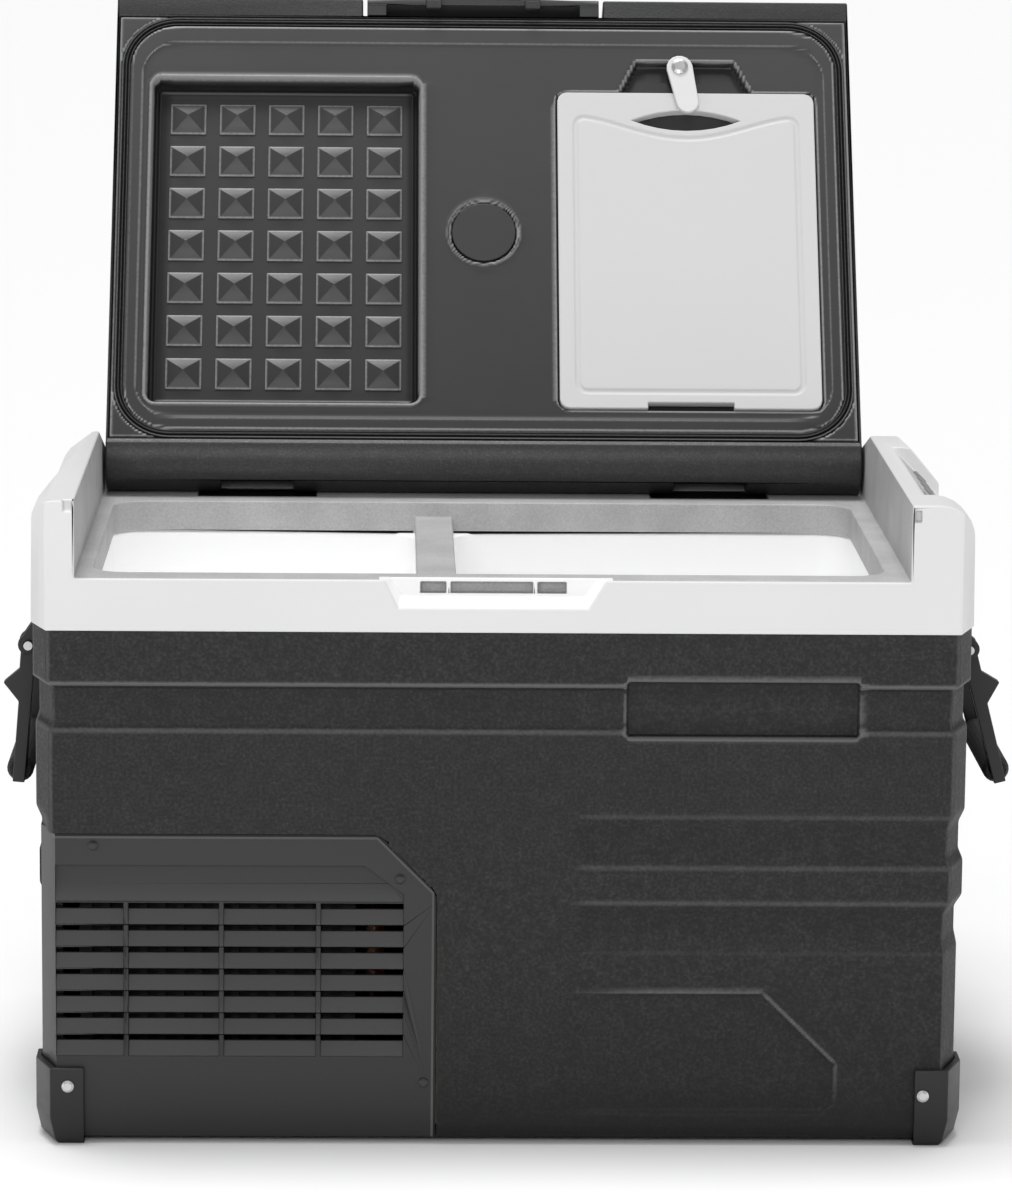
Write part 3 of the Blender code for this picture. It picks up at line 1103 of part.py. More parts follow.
join(inlet, along_y(socket_outline(SOCKET_WALL), -16.0, 1.0))
cut(inlet, along_y(socket_outline(0.0), -12.0, 9.0))
FLAP_AXIS = (INLET_FLANGE + 2.3, INLET_SIZE[1] / 2 - 4.0)
join(inlet, along_x(circle(FLAP_AXIS, 2.6, 10), -4.0, 4.0))
cut(inlet, shifted(pin_bore(0.0, 0.9, 9.0), y=FLAP_AXIS[0], z=FLAP_AXIS[1]))
socket_hole = along_y(rounded(-14.6, 14.6, -9.6, 9.6, 4.2, 3), -20.0, 9.0)
cut(shell, shifted(socket_hole, INLET_X, INLET_FACE, INLET_Z))
flap_pivot = pivot("flap_pivot", (0.0, *FLAP_AXIS), parent=inlet_seat)
flap = piece("inlet_cover", box(-15.0, 15.0, -1.6, 0.4, -25.0, 1.5), RUBBER, flap_pivot)
for sign in (-1, 1):
    ends = sorted((sign * 4.5, sign * 9.0))
    join(flap, along_x(circle((0.0, 0.0), 1.9, 10), *ends))
cut(flap, box(-4.4, 4.4, -9.0, 9.0, -3.2, 9.0))
join(flap, pin_bore(0.0, 0.6, 6.0))

# ---------------------------------------------------------------- cooling unit

COMPRESSOR_PLACE = (-175.0, 92.0)
COMPRESSOR_RADIUS = 56.0
COMPRESSOR_PROFILE = [
    (20.0, 33.0), (44.0, 36.0), (COMPRESSOR_RADIUS - 2, 50.0), (COMPRESSOR_RADIUS, 62.0),
    (COMPRESSOR_RADIUS, 88.0), (COMPRESSOR_RADIUS + 2.5, 90.0), (COMPRESSOR_RADIUS + 2.5, 94.0),
    (COMPRESSOR_RADIUS, 96.0), (COMPRESSOR_RADIUS - 1, 122.0), (COMPRESSOR_RADIUS - 9, 142.0), (34.0, 154.0),
    (14.0, 159.0)]
compressor = piece("compressor", turned(COMPRESSOR_PROFILE, 32), DARK_STEEL)
compressor.location = Vector((*COMPRESSOR_PLACE, 0.0)) * MM
FOOT_SPREAD = (66.0, 44.0)
FEET_Z = 27.0
join(compressor, box(-FOOT_SPREAD[0] - 10, FOOT_SPREAD[0] + 10, -FOOT_SPREAD[1] - 8, FOOT_SPREAD[1] + 8,
                     FEET_Z, FEET_Z + 7.5))
GROMMET_RADIUS = 9.0
GROMMET_PROFILE = [(GROMMET_RADIUS, TRAY_TOP + GAP), (GROMMET_RADIUS, 16.0), (GROMMET_RADIUS - 2, 18.0),
                   (GROMMET_RADIUS - 2, 22.0), (GROMMET_RADIUS - 1, FEET_Z - GAP)]
for number, (sx, sy) in enumerate(((-1, -1), (1, -1), (0, 1)), 1):
    grommet = piece("compressor_grommet_%d" % number, turned(GROMMET_PROFILE, 16), RUBBER)
    grommet_x = COMPRESSOR_PLACE[0] + sx * FOOT_SPREAD[0]
    grommet_y = COMPRESSOR_PLACE[1] + sy * FOOT_SPREAD[1]
    grommet.location = Vector((grommet_x, grommet_y, 0.0)) * MM

CONDENSER_X = (-275.0, -95.0)
CONDENSER_Y = (-176.0, -142.0)
CONDENSER_Z = (TRAY_TOP + GAP, 196.0)
condenser = piece("condenser", box(*CONDENSER_X, *CONDENSER_Y, *CONDENSER_Z), ALUMINIUM)
FIN_PITCH = 12.0
FIN_GAP = 7.0
FIN_DEPTH = 12.0
FIN_MARGIN = 8.0
fin_gaps = []
fin_x = CONDENSER_X[0] + FIN_MARGIN
while fin_x + 5.0 < CONDENSER_X[1] - 6.0:
    fin_gaps.append(box(fin_x, fin_x + FIN_GAP, CONDENSER_Y[0] - 5, CONDENSER_Y[0] + FIN_DEPTH,
                        CONDENSER_Z[0] + FIN_MARGIN, CONDENSER_Z[1] - FIN_MARGIN))
    fin_x += FIN_PITCH
cut(condenser, gathered(fin_gaps))

FAN_CENTRE = (-185.0, 104.0)
FAN_Y = (CONDENSER_Y[1] + 2.0, CONDENSER_Y[1] + 27.0)
FAN_HALF = 60.0
FAN_BORE = 56.0
FAN_DEPTH = 25.0
MOTOR_RADIUS = 19.0
HUB_RADIUS = 20.0
fan_seat = pivot("fan_seat", (FAN_CENTRE[0], FAN_Y[0], FAN_CENTRE[1]))
fan_frame = piece("fan_frame", along_y(rounded(-FAN_HALF, FAN_HALF, -FAN_HALF, FAN_HALF, 6.0, 2), 0.0,
                                        FAN_DEPTH),
                  SMOOTH_BLACK, fan_seat)
cut(fan_frame, along_y(circle((0.0, 0.0), FAN_BORE, 36), -9.0, 40.0))
join(fan_frame, along_y(circle((0.0, 0.0), MOTOR_RADIUS, 20), 21.5, FAN_DEPTH))
FAN_STRUTS = 3
strut = rectangle(16.0, FAN_BORE + 2, -2.5, 2.5)
join(fan_frame, gathered([moved(along_y(strut, 21.6, 24.9),
                                Matrix.Rotation(0.4 + 2 * math.pi * i / FAN_STRUTS, 4, "Y"))
                          for i in range(FAN_STRUTS)]))
rotor = piece("fan_rotor", along_y(circle((0.0, 0.0), HUB_RADIUS, 24), 2.0, 20.5), SMOOTH_BLACK, fan_seat)
BLADE_COUNT = 7
BLADE_TIP = FAN_BORE - 2.0


def blade(angle):
    """A flat blade, twisted from 50 degrees at the hub to 25 at its tip."""
    sections = []
    for radius, pitch in ((16.0, 50.0), (34.0, 36.0), (BLADE_TIP, 25.0)):
        tilt = math.radians(pitch)
        chord = 11.0 + 0.12 * radius
        along = (math.cos(tilt) * chord / 2, math.sin(tilt) * chord / 2)
        thick = (-math.sin(tilt) * 0.8, math.cos(tilt) * 0.8)
        corners = [(-along[0] - thick[0], -along[1] - thick[1]), (along[0] - thick[0], along[1] - thick[1]),
                   (along[0] + thick[0], along[1] + thick[1]), (-along[0] + thick[0], -along[1] + thick[1])]
        sections.append([(radius, 11.0 + depth, side) for side, depth in corners])
    return moved(loft(sections, split=True), Matrix.Rotation(angle, 4, "Y"))


for number in range(BLADE_COUNT):
    join(rotor, blade(2 * math.pi * number / BLADE_COUNT))

DRIVE_MODULE_X = (-288.0, -248.0)
DRIVE_MODULE_Y = (30.0, 150.0)
DRIVE_MODULE_Z = (60.0, 130.0)
piece("drive_module", box(*DRIVE_MODULE_X, *DRIVE_MODULE_Y, *DRIVE_MODULE_Z), ALUMINIUM)
DRIER_PROFILE = [(2.5, 0.0), (2.5, 8.0), (9.0, 16.0), (9.0, 66.0), (2.5, 74.0), (2.5, 82.0)]
DRIER_PLACE = (-85.0, -60.0, 60.0)
drier = piece("filter_drier", turned(DRIER_PROFILE, 20), COPPER)
drier.location = Vector(DRIER_PLACE) * MM


def pipe(name, points, radius):
    """A bent refrigerant pipe through its points."""
    curve = bpy.data.curves.new(name, "CURVE")
    curve.dimensions = "3D"
    curve.bevel_depth = radius * MM
    curve.bevel_resolution = 2
    curve.resolution_u = 5
    curve.render_resolution_u = 0
    curve.use_fill_caps = True
    line = curve.splines.new("BEZIER")
    line.bezier_points.add(len(points) - 1)
    for knot, point in zip(line.bezier_points, points):
        knot.co = Vector(point) * MM
        knot.handle_left_type = "AUTO"
        knot.handle_right_type = "AUTO"
    curve.materials.append(COPPER)
    made = bpy.data.objects.new(name, curve)
    bpy.context.scene.collection.objects.link(made)


compressor_x, compressor_y = COMPRESSOR_PLACE
pipe("discharge_pipe", [(compressor_x + 20, compressor_y - 20, 158.5),
                        (compressor_x + 30, compressor_y - 40, 185.0),
                        (-110.0, 0.0, 195.0), (-85.0, -90.0, 180.0), (-95.0 + 8, CONDENSER_Y[1] + 8, 175.0),
                        (-95.0 + 1.5 + 3.0, CONDENSER_Y[1] - 12, 170.0)], 3.0)
pipe("suction_pipe", [(compressor_x - 20, compressor_y + 20, 158.5),
                      (compressor_x - 10, compressor_y + 45, 188.0),
                      (-110.0, 150.0, 190.0), (BAY_SIDE - 4.5, 160.0, 170.0)], 3.5)
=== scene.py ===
"""Looks of the compressor cooler fridge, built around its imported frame.

The scene is in metres with +Z up and the front towards -Y. Surfaces are worked out in millimetres, and MM
brings them to metres.
"""
import json
import math

import bmesh
import bpy
import numpy as np
from mathutils import Matrix, Vector

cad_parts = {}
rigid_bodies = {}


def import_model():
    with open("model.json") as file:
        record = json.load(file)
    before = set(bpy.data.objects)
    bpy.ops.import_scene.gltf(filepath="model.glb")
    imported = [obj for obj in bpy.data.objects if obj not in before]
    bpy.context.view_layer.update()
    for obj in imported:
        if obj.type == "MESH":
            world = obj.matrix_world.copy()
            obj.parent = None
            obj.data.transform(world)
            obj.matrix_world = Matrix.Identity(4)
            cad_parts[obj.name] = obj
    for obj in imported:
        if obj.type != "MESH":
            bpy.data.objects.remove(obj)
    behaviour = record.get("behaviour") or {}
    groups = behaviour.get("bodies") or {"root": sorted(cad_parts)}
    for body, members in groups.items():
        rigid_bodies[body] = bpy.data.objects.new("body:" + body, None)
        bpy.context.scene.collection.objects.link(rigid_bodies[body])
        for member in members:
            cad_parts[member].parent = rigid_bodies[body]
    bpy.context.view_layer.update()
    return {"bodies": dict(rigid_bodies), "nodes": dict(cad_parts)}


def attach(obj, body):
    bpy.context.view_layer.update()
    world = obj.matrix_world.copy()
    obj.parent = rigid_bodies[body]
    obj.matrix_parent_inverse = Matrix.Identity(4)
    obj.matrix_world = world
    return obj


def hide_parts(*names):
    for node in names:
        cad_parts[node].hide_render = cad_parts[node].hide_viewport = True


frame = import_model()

NODES = frame["nodes"]
MM = 0.001
# Height in metres from which the lid panel's painted shade lightens upwards
LID_FOOT_Z = 0.42

# ---------------------------------------------------------------- camera and lamps

SENSOR_WIDTH = 36.0
LENS = 154.35
CAMERA_PLACE = Vector((-0.078, -3.451, 0.9547))
CAMERA_PITCH = -10.3
CAMERA_YAW = -1.39
CAMERA_ROLL = 0.55


def make_camera():
    """The long lens that looks at the front from a little above."""
    data = bpy.data.cameras.new("studio_camera")
    data.sensor_width = SENSOR_WIDTH
    data.lens = LENS
    data.clip_end = 100.0
    made = bpy.data.objects.new("studio_camera", data)
    bpy.context.scene.collection.objects.link(made)
    turn = (Matrix.Rotation(math.radians(CAMERA_YAW), 4, "Z")
            @ Matrix.Rotation(math.radians(90.0 + CAMERA_PITCH), 4, "X")
            @ Matrix.Rotation(math.radians(CAMERA_ROLL), 4, "Z"))
    made.matrix_world = Matrix.Translation(CAMERA_PLACE) @ turn
    bpy.context.scene.camera = made


def area_light(name, place, target, size, power):
    """A soft box at a place, facing its target."""
    data = bpy.data.lights.new(name, "AREA")
    data.shape = "RECTANGLE"
    data.size, data.size_y = size
    data.energy = power
    made = bpy.data.objects.new(name, data)
    bpy.context.scene.collection.objects.link(made)
    made.location = place
    made.rotation_euler = (Vector(target) - Vector(place)).to_track_quat("-Z", "Y").to_euler()


make_camera()

# ---------------------------------------------------------------- shader writing


class Sock:
    """A shader socket that can be used in arithmetic: each operation adds its Math node."""

    def __init__(self, tree, link):
        self.tree = tree
        self.link = link

    def _math(self, operation, first, second):
        return self.tree.node("ShaderNodeMath", {"operation": operation}, (first, second))

    def __add__(self, other):
        return self._math("ADD", self, other)

    def __radd__(self, other):
        return self._math("ADD", other, self)

    def __sub__(self, other):
        return self._math("SUBTRACT", self, other)

    def __rsub__(self, other):
        return self._math("SUBTRACT", other, self)

    def __mul__(self, other):
        return self._math("MULTIPLY", self, other)

    def __rmul__(self, other):
        return self._math("MULTIPLY", other, self)

    def __gt__(self, other):
        return self._math("GREATER_THAN", self, other)

    def __lt__(self, other):
        return self._math("LESS_THAN", self, other)


class Finish:
    """A material under construction."""

    def __init__(self, name, colour, roughness, metallic=0.0, **extra):
        self.material = bpy.data.materials.new(name)
        self.material.use_nodes = True
        self.tree = self.material.node_tree
        self.shader = self.tree.nodes["Principled BSDF"]
        self.shader.inputs["Base Color"].default_value = (*colour, 1.0)
        self.shader.inputs["Roughness"].default_value = roughness
        self.shader.inputs["Metallic"].default_value = metallic
        for key, value in extra.items():
            self.shader.inputs[key.replace("_", " ")].default_value = value
        self.place = self.node("ShaderNodeTexCoord", {}, (), "Object")

    def node(self, kind, settings, values, output=0):
        """One node: its settings first, then the values or links of its sockets, by place or by name."""
        made = self.tree.nodes.new(kind)
        for key, value in settings.items():
            if key == "stops":
                ramp = made.color_ramp
                while len(ramp.elements) > 1:
                    ramp.elements.remove(ramp.elements[0])
                for number, (position, tone) in enumerate(value):
                    element = ramp.elements[0] if number == 0 else ramp.elements.new(position)
                    element.position = position
                    element.color = (*([tone] * 3 if isinstance(tone, float) else tone), 1.0)
            else:
                setattr(made, key, value)
        pairs = values.items() if isinstance(values, dict) else enumerate(values)
        for key, value in pairs:
            if isinstance(value, Sock):
                self.tree.links.new(value.link, made.inputs[key])
            elif value is not None:
                made.inputs[key].default_value = value
        return Sock(self, made.outputs[output])

    def noise(self, scale, detail=2.0, roughness=0.5, where=None, output="Fac"):
        return self.node("ShaderNodeTexNoise", {}, {"Vector": where or self.place, "Scale": scale,
                                                    "Detail": detail, "Roughness": roughness}, output)

    def stretched(self, x, y, z):
        return self.node("ShaderNodeMapping", {}, {"Vector": self.place, "Scale": (x, y, z)}, "Vector")

    def ramp(self, value, stops):
        return self.node("ShaderNodeValToRGB", {"stops": stops}, (value,), "Color")

    def mix(self, amount, first, second):
        return self.node("ShaderNodeMix", {"data_type": "RGBA"},
                         {0: amount, 6: (*first, 1.0) if isinstance(first, tuple) else first,
                          7: (*second, 1.0) if isinstance(second, tuple) else second}, 2)

    def feed(self, socket, value):
        self.tree.links.new(value.link, self.shader.inputs[socket])

    def bump(self, height, distance, strength=1.0):
        self.feed("Normal", self.node("ShaderNodeBump", {}, {"Strength": strength, "Distance": distance,
                                                             "Height": height}, "Normal"))


def painted_foot_shade(made):
    """How far the height frees a tone from painted shade at the foot: 0 at the floor, rising to 1 a hand's
    width up.
    """
    height = made.node("ShaderNodeSeparateXYZ", {}, (made.place,), "Z")
    return made.ramp(height * 5.0, [(0.02, 0.0), (0.22, 0.65), (0.6, 1.0)])


def painted_edge_light_and_shade(made, colour, light, strength=1.0):
    """A colour painted lighter on proud edges as a highlight and darker in hollows as shade, by the piece's
    edge attribute.
    """
    mark = made.node("ShaderNodeAttribute", {"attribute_name": "edge"}, (), "Fac")
    highlight_breakup = made.noise(420.0, 2.0)
    # Painted highlights on proud edges, broken up by noise, and painted shade in hollows
    proud = made.ramp(mark * (0.5 + highlight_breakup), [(0.08, 0.0), (0.85, 1.0)])
    hollow = made.ramp(mark * -1.0, [(0.04, 0.0), (1.0, 1.0)])
    dark = made.mix(hollow * 0.85, colour, (0.002, 0.002, 0.002))
    return made.mix(proud * strength, dark, light)


def pebbled(name, low, high, roughness, pitch, depth, edge=None, specular=0.5):
    """Moulded plastic with a pebbled grain: rounded grains of uneven size with a painted highlight on their
    tops, and where a piece carries its edges as an attribute, painted shade towards the floor, a painted
    highlight along its proud edges and painted shade in its hollows."""
    made = Finish(name, low, roughness, Specular_IOR_Level=specular)
    grain = made.noise(1.0 / pitch, 3.0, 0.62)
    clumps = made.noise(0.22 / pitch, 2.0)
    drift = made.noise(9.0, 2.0)
    # tops: the grains' tops, painted lighter as a highlight
    tops = made.ramp(grain * 0.8 + clumps * 0.2, [(0.42, 0.0), (0.55, 0.35), (0.68, 1.0)])
    colour = made.mix(tops * 0.75 + drift * 0.2, low, high)
    # Painted shade towards the floor, then painted highlights on proud edges and painted shade in hollows
    if edge:
        shaded = made.mix(painted_foot_shade(made), tuple(channel * 0.3 for channel in low), colour)
        colour = painted_edge_light_and_shade(made, shaded, edge)
    made.feed("Base Color", colour)
    made.feed("Roughness", roughness - 0.12 * tops + 0.1 * drift)
    made.bump(grain * 0.8 + clumps * 0.4, depth, 0.9)
    return made.material


def moulded(name, colour, roughness, grain=0.0009, depth=0.00004, drift=0.12, specular=0.5, foot=False,
            edge=None, glow=0.0, painted_shade_fall=None):
    """Smooth moulded plastic: a fine spark-eroded grain, slow drifts of tone and faint rub marks. Where
    asked, it gets painted shade towards the floor, painted shade lower down the lid, painted highlights on
    proud edges with painted shade in hollows, and a glow that is painted light.
    """
    made = Finish(name, colour, roughness, Specular_IOR_Level=specular, Emission_Strength=glow)
    fine = made.noise(1.0 / grain, 2.0)
    slow = made.noise(7.0, 3.0)
    rub = made.noise(60.0, 4.0, 0.6, where=made.stretched(1.0, 1.0, 5.0))
    tone = tuple(channel * (1.0 - drift) for channel in colour)
    bright = tuple(min(channel * (1.0 + drift), 0.95) for channel in colour)
    finish = made.mix(slow * 0.7 + fine * 0.3, tone, bright)
    # Painted shade towards the floor
    if foot:
        finish = made.mix(painted_foot_shade(made), tuple(channel * 0.35 for channel in colour), finish)
    # Painted shade: darker lower down the lid
    if painted_shade_fall:
        height = made.node("ShaderNodeSeparateXYZ", {}, (made.place,), "Z")
        share = made.ramp((height - LID_FOOT_Z) * 3.4, [(0.0, 0.2), (1.0, 1.0)])
        finish = made.mix(share, tuple(channel * painted_shade_fall for channel in colour), finish)
    # Painted highlights on proud edges and painted shade in hollows
    if edge:
        finish = painted_edge_light_and_shade(made, finish, edge)
    made.feed("Base Color", finish)
    made.feed("Roughness", roughness - 0.05 + 0.1 * rub + 0.04 * slow)
    made.bump(fine * 0.7 + rub * 0.3, depth, 0.7)
    return made.material


def metal(name, colour, roughness, brushed=(1.0, 1.0, 1.0), depth=0.00002):
    """Metal with fine drawn lines and a little tarnish."""
    made = Finish(name, colour, roughness, 1.0)
    drawn = made.noise(900.0, 2.0, where=made.stretched(*brushed))
    tarnish = made.noise(35.0, 4.0)
    dull = tuple(channel * 0.72 for channel in colour)
    made.feed("Base Color", made.mix(tarnish, dull, colour))
    made.feed("Roughness", roughness + 0.14 * tarnish + 0.08 * drawn)
    made.bump(drawn, depth, 0.5)
    return made.material


# Boxes in metres: the frame's surfaces under the lid, painted darker as the lid's shade, and the finger
# recess, painted lighter as a highlight
UNDER_LID = (-0.2768, 0.2622, -0.1995, 0.1945, 0.0, 0.4262)
FINGER_RECESS = (-0.0806, 0.0696, -0.2007, -0.1894, 0.3500, 0.3868)
COVER_RIGHT, COVER_TOP, COVER_CHAMFER = -41.9, 208.1, 38.0


def rim_finish():
    """The frame's light grey plastic: smooth outside, a mottled grain under the lid painted darker as the
    lid's shade, and a finger recess painted bright as a highlight."""
    made = Finish("rim_grey", (0.70, 0.70, 0.70), 0.4)
    axes = [made.node("ShaderNodeSeparateXYZ", {}, (made.place,), axis) for axis in "XYZ"]
    grain = made.noise(700.0, 3.0, 0.6)
    clouds = made.noise(28.0, 3.0)
    slow = made.noise(6.0, 2.0)
    under, recess = [((axes[0] > x0) * (x1 > axes[0]) * (axes[1] > y0) * (y1 > axes[1]) * (axes[2] > z0)
                      * (z1 > axes[2])) for x0, x1, y0, y1, z0, z1 in (UNDER_LID, FINGER_RECESS)]
    smooth = made.mix(slow, (0.66, 0.66, 0.66), (0.72, 0.72, 0.72))
    # mottled: a mottled grain under the lid, its darkness painted shade from the lid
    mottled = made.mix(made.ramp(grain * 0.6 + clouds * 0.5, [(0.4, 0.0), (0.7, 1.0)]), (0.36, 0.36, 0.36),
                       (0.49, 0.49, 0.49))
    # The finger recess is painted bright as a highlight
    made.feed("Base Color", made.mix(recess, made.mix(under, smooth, mottled), (0.84, 0.84, 0.84)))
    made.feed("Roughness", 0.36 + 0.14 * under + 0.08 * slow)
    made.bump(grain * (0.15 + under), 0.00012, 0.6)
    return made.material


def cover_finish():
    """The cooling unit's cover: fine black grain, painted shade towards the floor, a painted highlight line
    along its edge and painted shade in the gap beyond it.
    """
    made = Finish("cover_black", (0.03, 0.03, 0.03), 0.46, Specular_IOR_Level=0.35)
    across, back, height = [made.node("ShaderNodeSeparateXYZ", {}, (made.place,), axis) * 1000.0
                            for axis in "XYZ"]
    fine = made.noise(900.0, 2.0)
    slow = made.noise(9.0, 3.0)
    right = across - COVER_RIGHT
    top = height - COVER_TOP
    corner = (right + top + COVER_CHAMFER) * 0.7071
    inside = made.node("ShaderNodeMath", {"operation": "MAXIMUM"}, (right, top))
    inside = made.node("ShaderNodeMath", {"operation": "MAXIMUM"}, (inside, corner))
    front = -1.0 * back > 190.0
    tone = made.mix(slow * 0.6 + fine * 0.5, (0.021, 0.021, 0.022), (0.033, 0.033, 0.034))
    # Painted shade towards the floor
    shaded = made.mix(painted_foot_shade(made), (0.012, 0.012, 0.012), tone)
    # A painted highlight line along the edge, and painted shade in the gap at the very edge
    line = (inside > -3.3) * front
    gap = (inside > -1.8) * front
    edge_highlighted = made.mix(line * (0.5 + fine), shaded, (0.075, 0.075, 0.075))
    made.feed("Base Color", made.mix(gap, edge_highlighted, (0.001, 0.001, 0.001)))
    made.feed("Roughness", 0.42 + 0.1 * slow)
    made.bump(fine, 0.00006, 0.7)
    return made.material


# The shell: painted highlights on proud edges, painted shade in hollows and painted shade towards the floor
SHELL = pebbled("pebbled_black", (0.007, 0.007, 0.0075), (0.036, 0.036, 0.037), 0.56, 0.0021, 0.00055,
                edge=(0.10, 0.10, 0.10), specular=0.3)
CONSOLE = moulded("console_grey", (0.44, 0.44, 0.44), 0.42, 0.0008, 0.00003, 0.04)
COVER = cover_finish()
# The guards are painted darker towards the floor as painted shade
GUARD = moulded("guard_black", (0.020, 0.020, 0.021), 0.42, 0.0011, 0.00006, 0.16, 0.35, True)
BAY = moulded("bay_black", (0.004, 0.004, 0.004), 0.6, 0.0011, 0.00006, 0.2, 0.2)
LID = moulded("lid_satin_black", (0.034, 0.034, 0.035), 0.36, 0.0008, 0.00003, 0.14, 0.45)
# The lid panel: painted highlights on proud edges, painted shade in hollows and painted shade lower down
PANEL = moulded("lid_panel_black", (0.046, 0.046, 0.047), 0.38, 0.0008, 0.00003, 0.16, 0.4,
                edge=(0.24, 0.24, 0.24), painted_shade_fall=0.5)
BARREL = pebbled("barrel_black", (0.010, 0.010, 0.010), (0.040, 0.040, 0.041), 0.42, 0.0016, 0.00022)
RIM = rim_finish()
# The liner's glow is painted light: it brightens the liner though it is no lamp
LINER = moulded("liner_white", (0.92, 0.92, 0.92), 0.32, 0.0012, 0.00002, 0.015, glow=0.11)
BOARD = moulded("board_grey", (0.58, 0.58, 0.58), 0.5, 0.0007, 0.00005, 0.025)
CLIP = moulded("clip_grey", (0.68, 0.68, 0.68), 0.33, 0.0008, 0.00001, 0.02)
# The seal's rubber: painted highlight lines along its lips and bead
RUBBER = moulded("soft_rubber", (0.003, 0.003, 0.0035), 0.38, 0.0006, 0.00004, 0.12, 0.15,
                 edge=(0.10, 0.10, 0.10))
GRIP = pebbled("grip_rubber", (0.010, 0.010, 0.010), (0.03, 0.03, 0.03), 0.7, 0.0011, 0.00015, specular=0.3)
FOAM = pebbled("foam_cream", (0.60, 0.53, 0.36), (0.76, 0.70, 0.52), 0.9, 0.0030, 0.0003)
STEEL = metal("plated_steel", (0.66, 0.66, 0.67), 0.26)
BLACK_STEEL = moulded("coated_steel", (0.016, 0.016, 0.017), 0.35, 0.0006, 0.00003)
FIN = metal("shaded_aluminium", (0.05, 0.05, 0.05), 0.5, (1.0, 1.0, 0.05))
ALUMINIUM = metal("mill_aluminium", (0.74, 0.75, 0.76), 0.36, (1.0, 1.0, 0.05))
COPPER = metal("copper_tube", (0.74, 0.38, 0.24), 0.28)
CIRCUIT = moulded("solder_mask", (0.02, 0.14, 0.05), 0.4, 0.002, 0.0001)
GLASS = moulded("display_glass", (0.006, 0.006, 0.007), 0.08, 0.003, 0.000002)
BUTTON = moulded("button_grey", (0.22, 0.22, 0.23), 0.5, 0.0007, 0.00003)

# ---------------------------------------------------------------- surfaces on grids


def ease(value, low, high):
    """A smooth step: 0 below low, 1 above high, and a cubic between."""
    t = np.clip((value - low) / (high - low), 0.0, 1.0)
    return t * t * (3.0 - 2.0 * t)


def slab_distance(x, y, x0, x1, y0, y1, radius):
    """Distance outside a rectangle with round corners, negative inside."""
    dx = np.abs(x - (x0 + x1) / 2) - (x1 - x0) / 2 + radius
    dy = np.abs(y - (y0 + y1) / 2) - (y1 - y0) / 2 + radius
    return np.hypot(np.maximum(dx, 0.0), np.maximum(dy, 0.0)) + np.minimum(np.maximum(dx, dy), 0.0) - radius


def object_from(name, vertices, faces, finish, body, replaces=()):
    """A finished piece from arrays of points (in millimetres) and of faces; it rides a body."""
    mesh = bpy.data.meshes.new(name)
    listed = [face for group in faces for face in group.tolist()]
    mesh.from_pydata((np.asarray(vertices) * MM).tolist(), [], listed)
    mesh.materials.append(finish)
    mesh.shade_smooth()
    mesh.set_sharp_from_angle(angle=math.radians(40.0))
    made = bpy.data.objects.new(name, mesh)
    bpy.context.scene.collection.objects.link(made)
    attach(made, body)
    if replaces:
        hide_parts(*replaces)
    return made


def grid_faces(rows, columns, closed_rows=False, closed_columns=False):
    """Four-cornered faces between neighbouring points of a grid, counted row by row."""
    r = np.arange(rows if closed_rows else rows - 1)
    c = np.arange(columns if closed_columns else columns - 1)
    r, c = np.meshgrid(r, c, indexing="ij")
    r2, c2 = (r + 1) % rows, (c + 1) % columns
    return np.stack((r * columns + c, r * columns + c2, r2 * columns + c2, r2 * columns + c), axis=-1)


def swept(path, profile, side):
    """A closed profile carried round a closed flat path: each point goes out along the path's side vector by
    the profile's first number and along +Z by its second."""
    points = np.zeros((len(path), len(profile), 3))
    points[..., :2] = path[:, None, :] + side[:, None, :] * profile[None, :, :1]
    points[..., 2] = profile[None, :, 1]
    return points.reshape(-1, 3), grid_faces(len(path), len(profile), True, True).reshape(-1, 4)


def round_rectangle(x0, x1, y0, y1, radius, steps=12):
    """Points and outward directions round a rectangle with quarter-circle corners, anticlockwise."""
    angle = np.linspace(0.0, math.pi / 2, steps)
    centres = np.array([(x0 + radius, y0 + radius), (x1 - radius, y0 + radius), (x1 - radius, y1 - radius),
                        (x0 + radius, y1 - radius)])
    quarters = math.pi * np.array([1.0, 1.5, 2.0, 2.5])
    turns = np.concatenate([angle + start for start in quarters])
    out = np.stack((np.cos(turns), np.sin(turns)), axis=-1)
    return np.repeat(centres, steps, axis=0) + radius * out, out

# ---------------------------------------------------------------- pieces from the frame's own shapes


def body_of(node):
    """The name of the body that a node rides on."""
    holder = NODES[node].parent
    return next(name for name, empty in frame["bodies"].items() if empty == holder)


def carved(shape, cutter):
    """A closed shape with a closed cutter taken out of it."""
    pair = []
    for name, source in (("blank", shape), ("cutter", cutter)):
        mesh = bpy.data.meshes.new(name)
        source.to_mesh(mesh)
        source.free()
        pair.append(bpy.data.objects.new(name, mesh))
        bpy.context.scene.collection.objects.link(pair[-1])
    cut = pair[0].modifiers.new("cut", "BOOLEAN")
    cut.operation = "DIFFERENCE"
    cut.object = pair[1]
    done = bmesh.new()
    done.from_object(pair[0], bpy.context.evaluated_depsgraph_get())
    for made in pair:
        mesh = made.data
        bpy.data.objects.remove(made)
        bpy.data.meshes.remove(mesh)
    return done


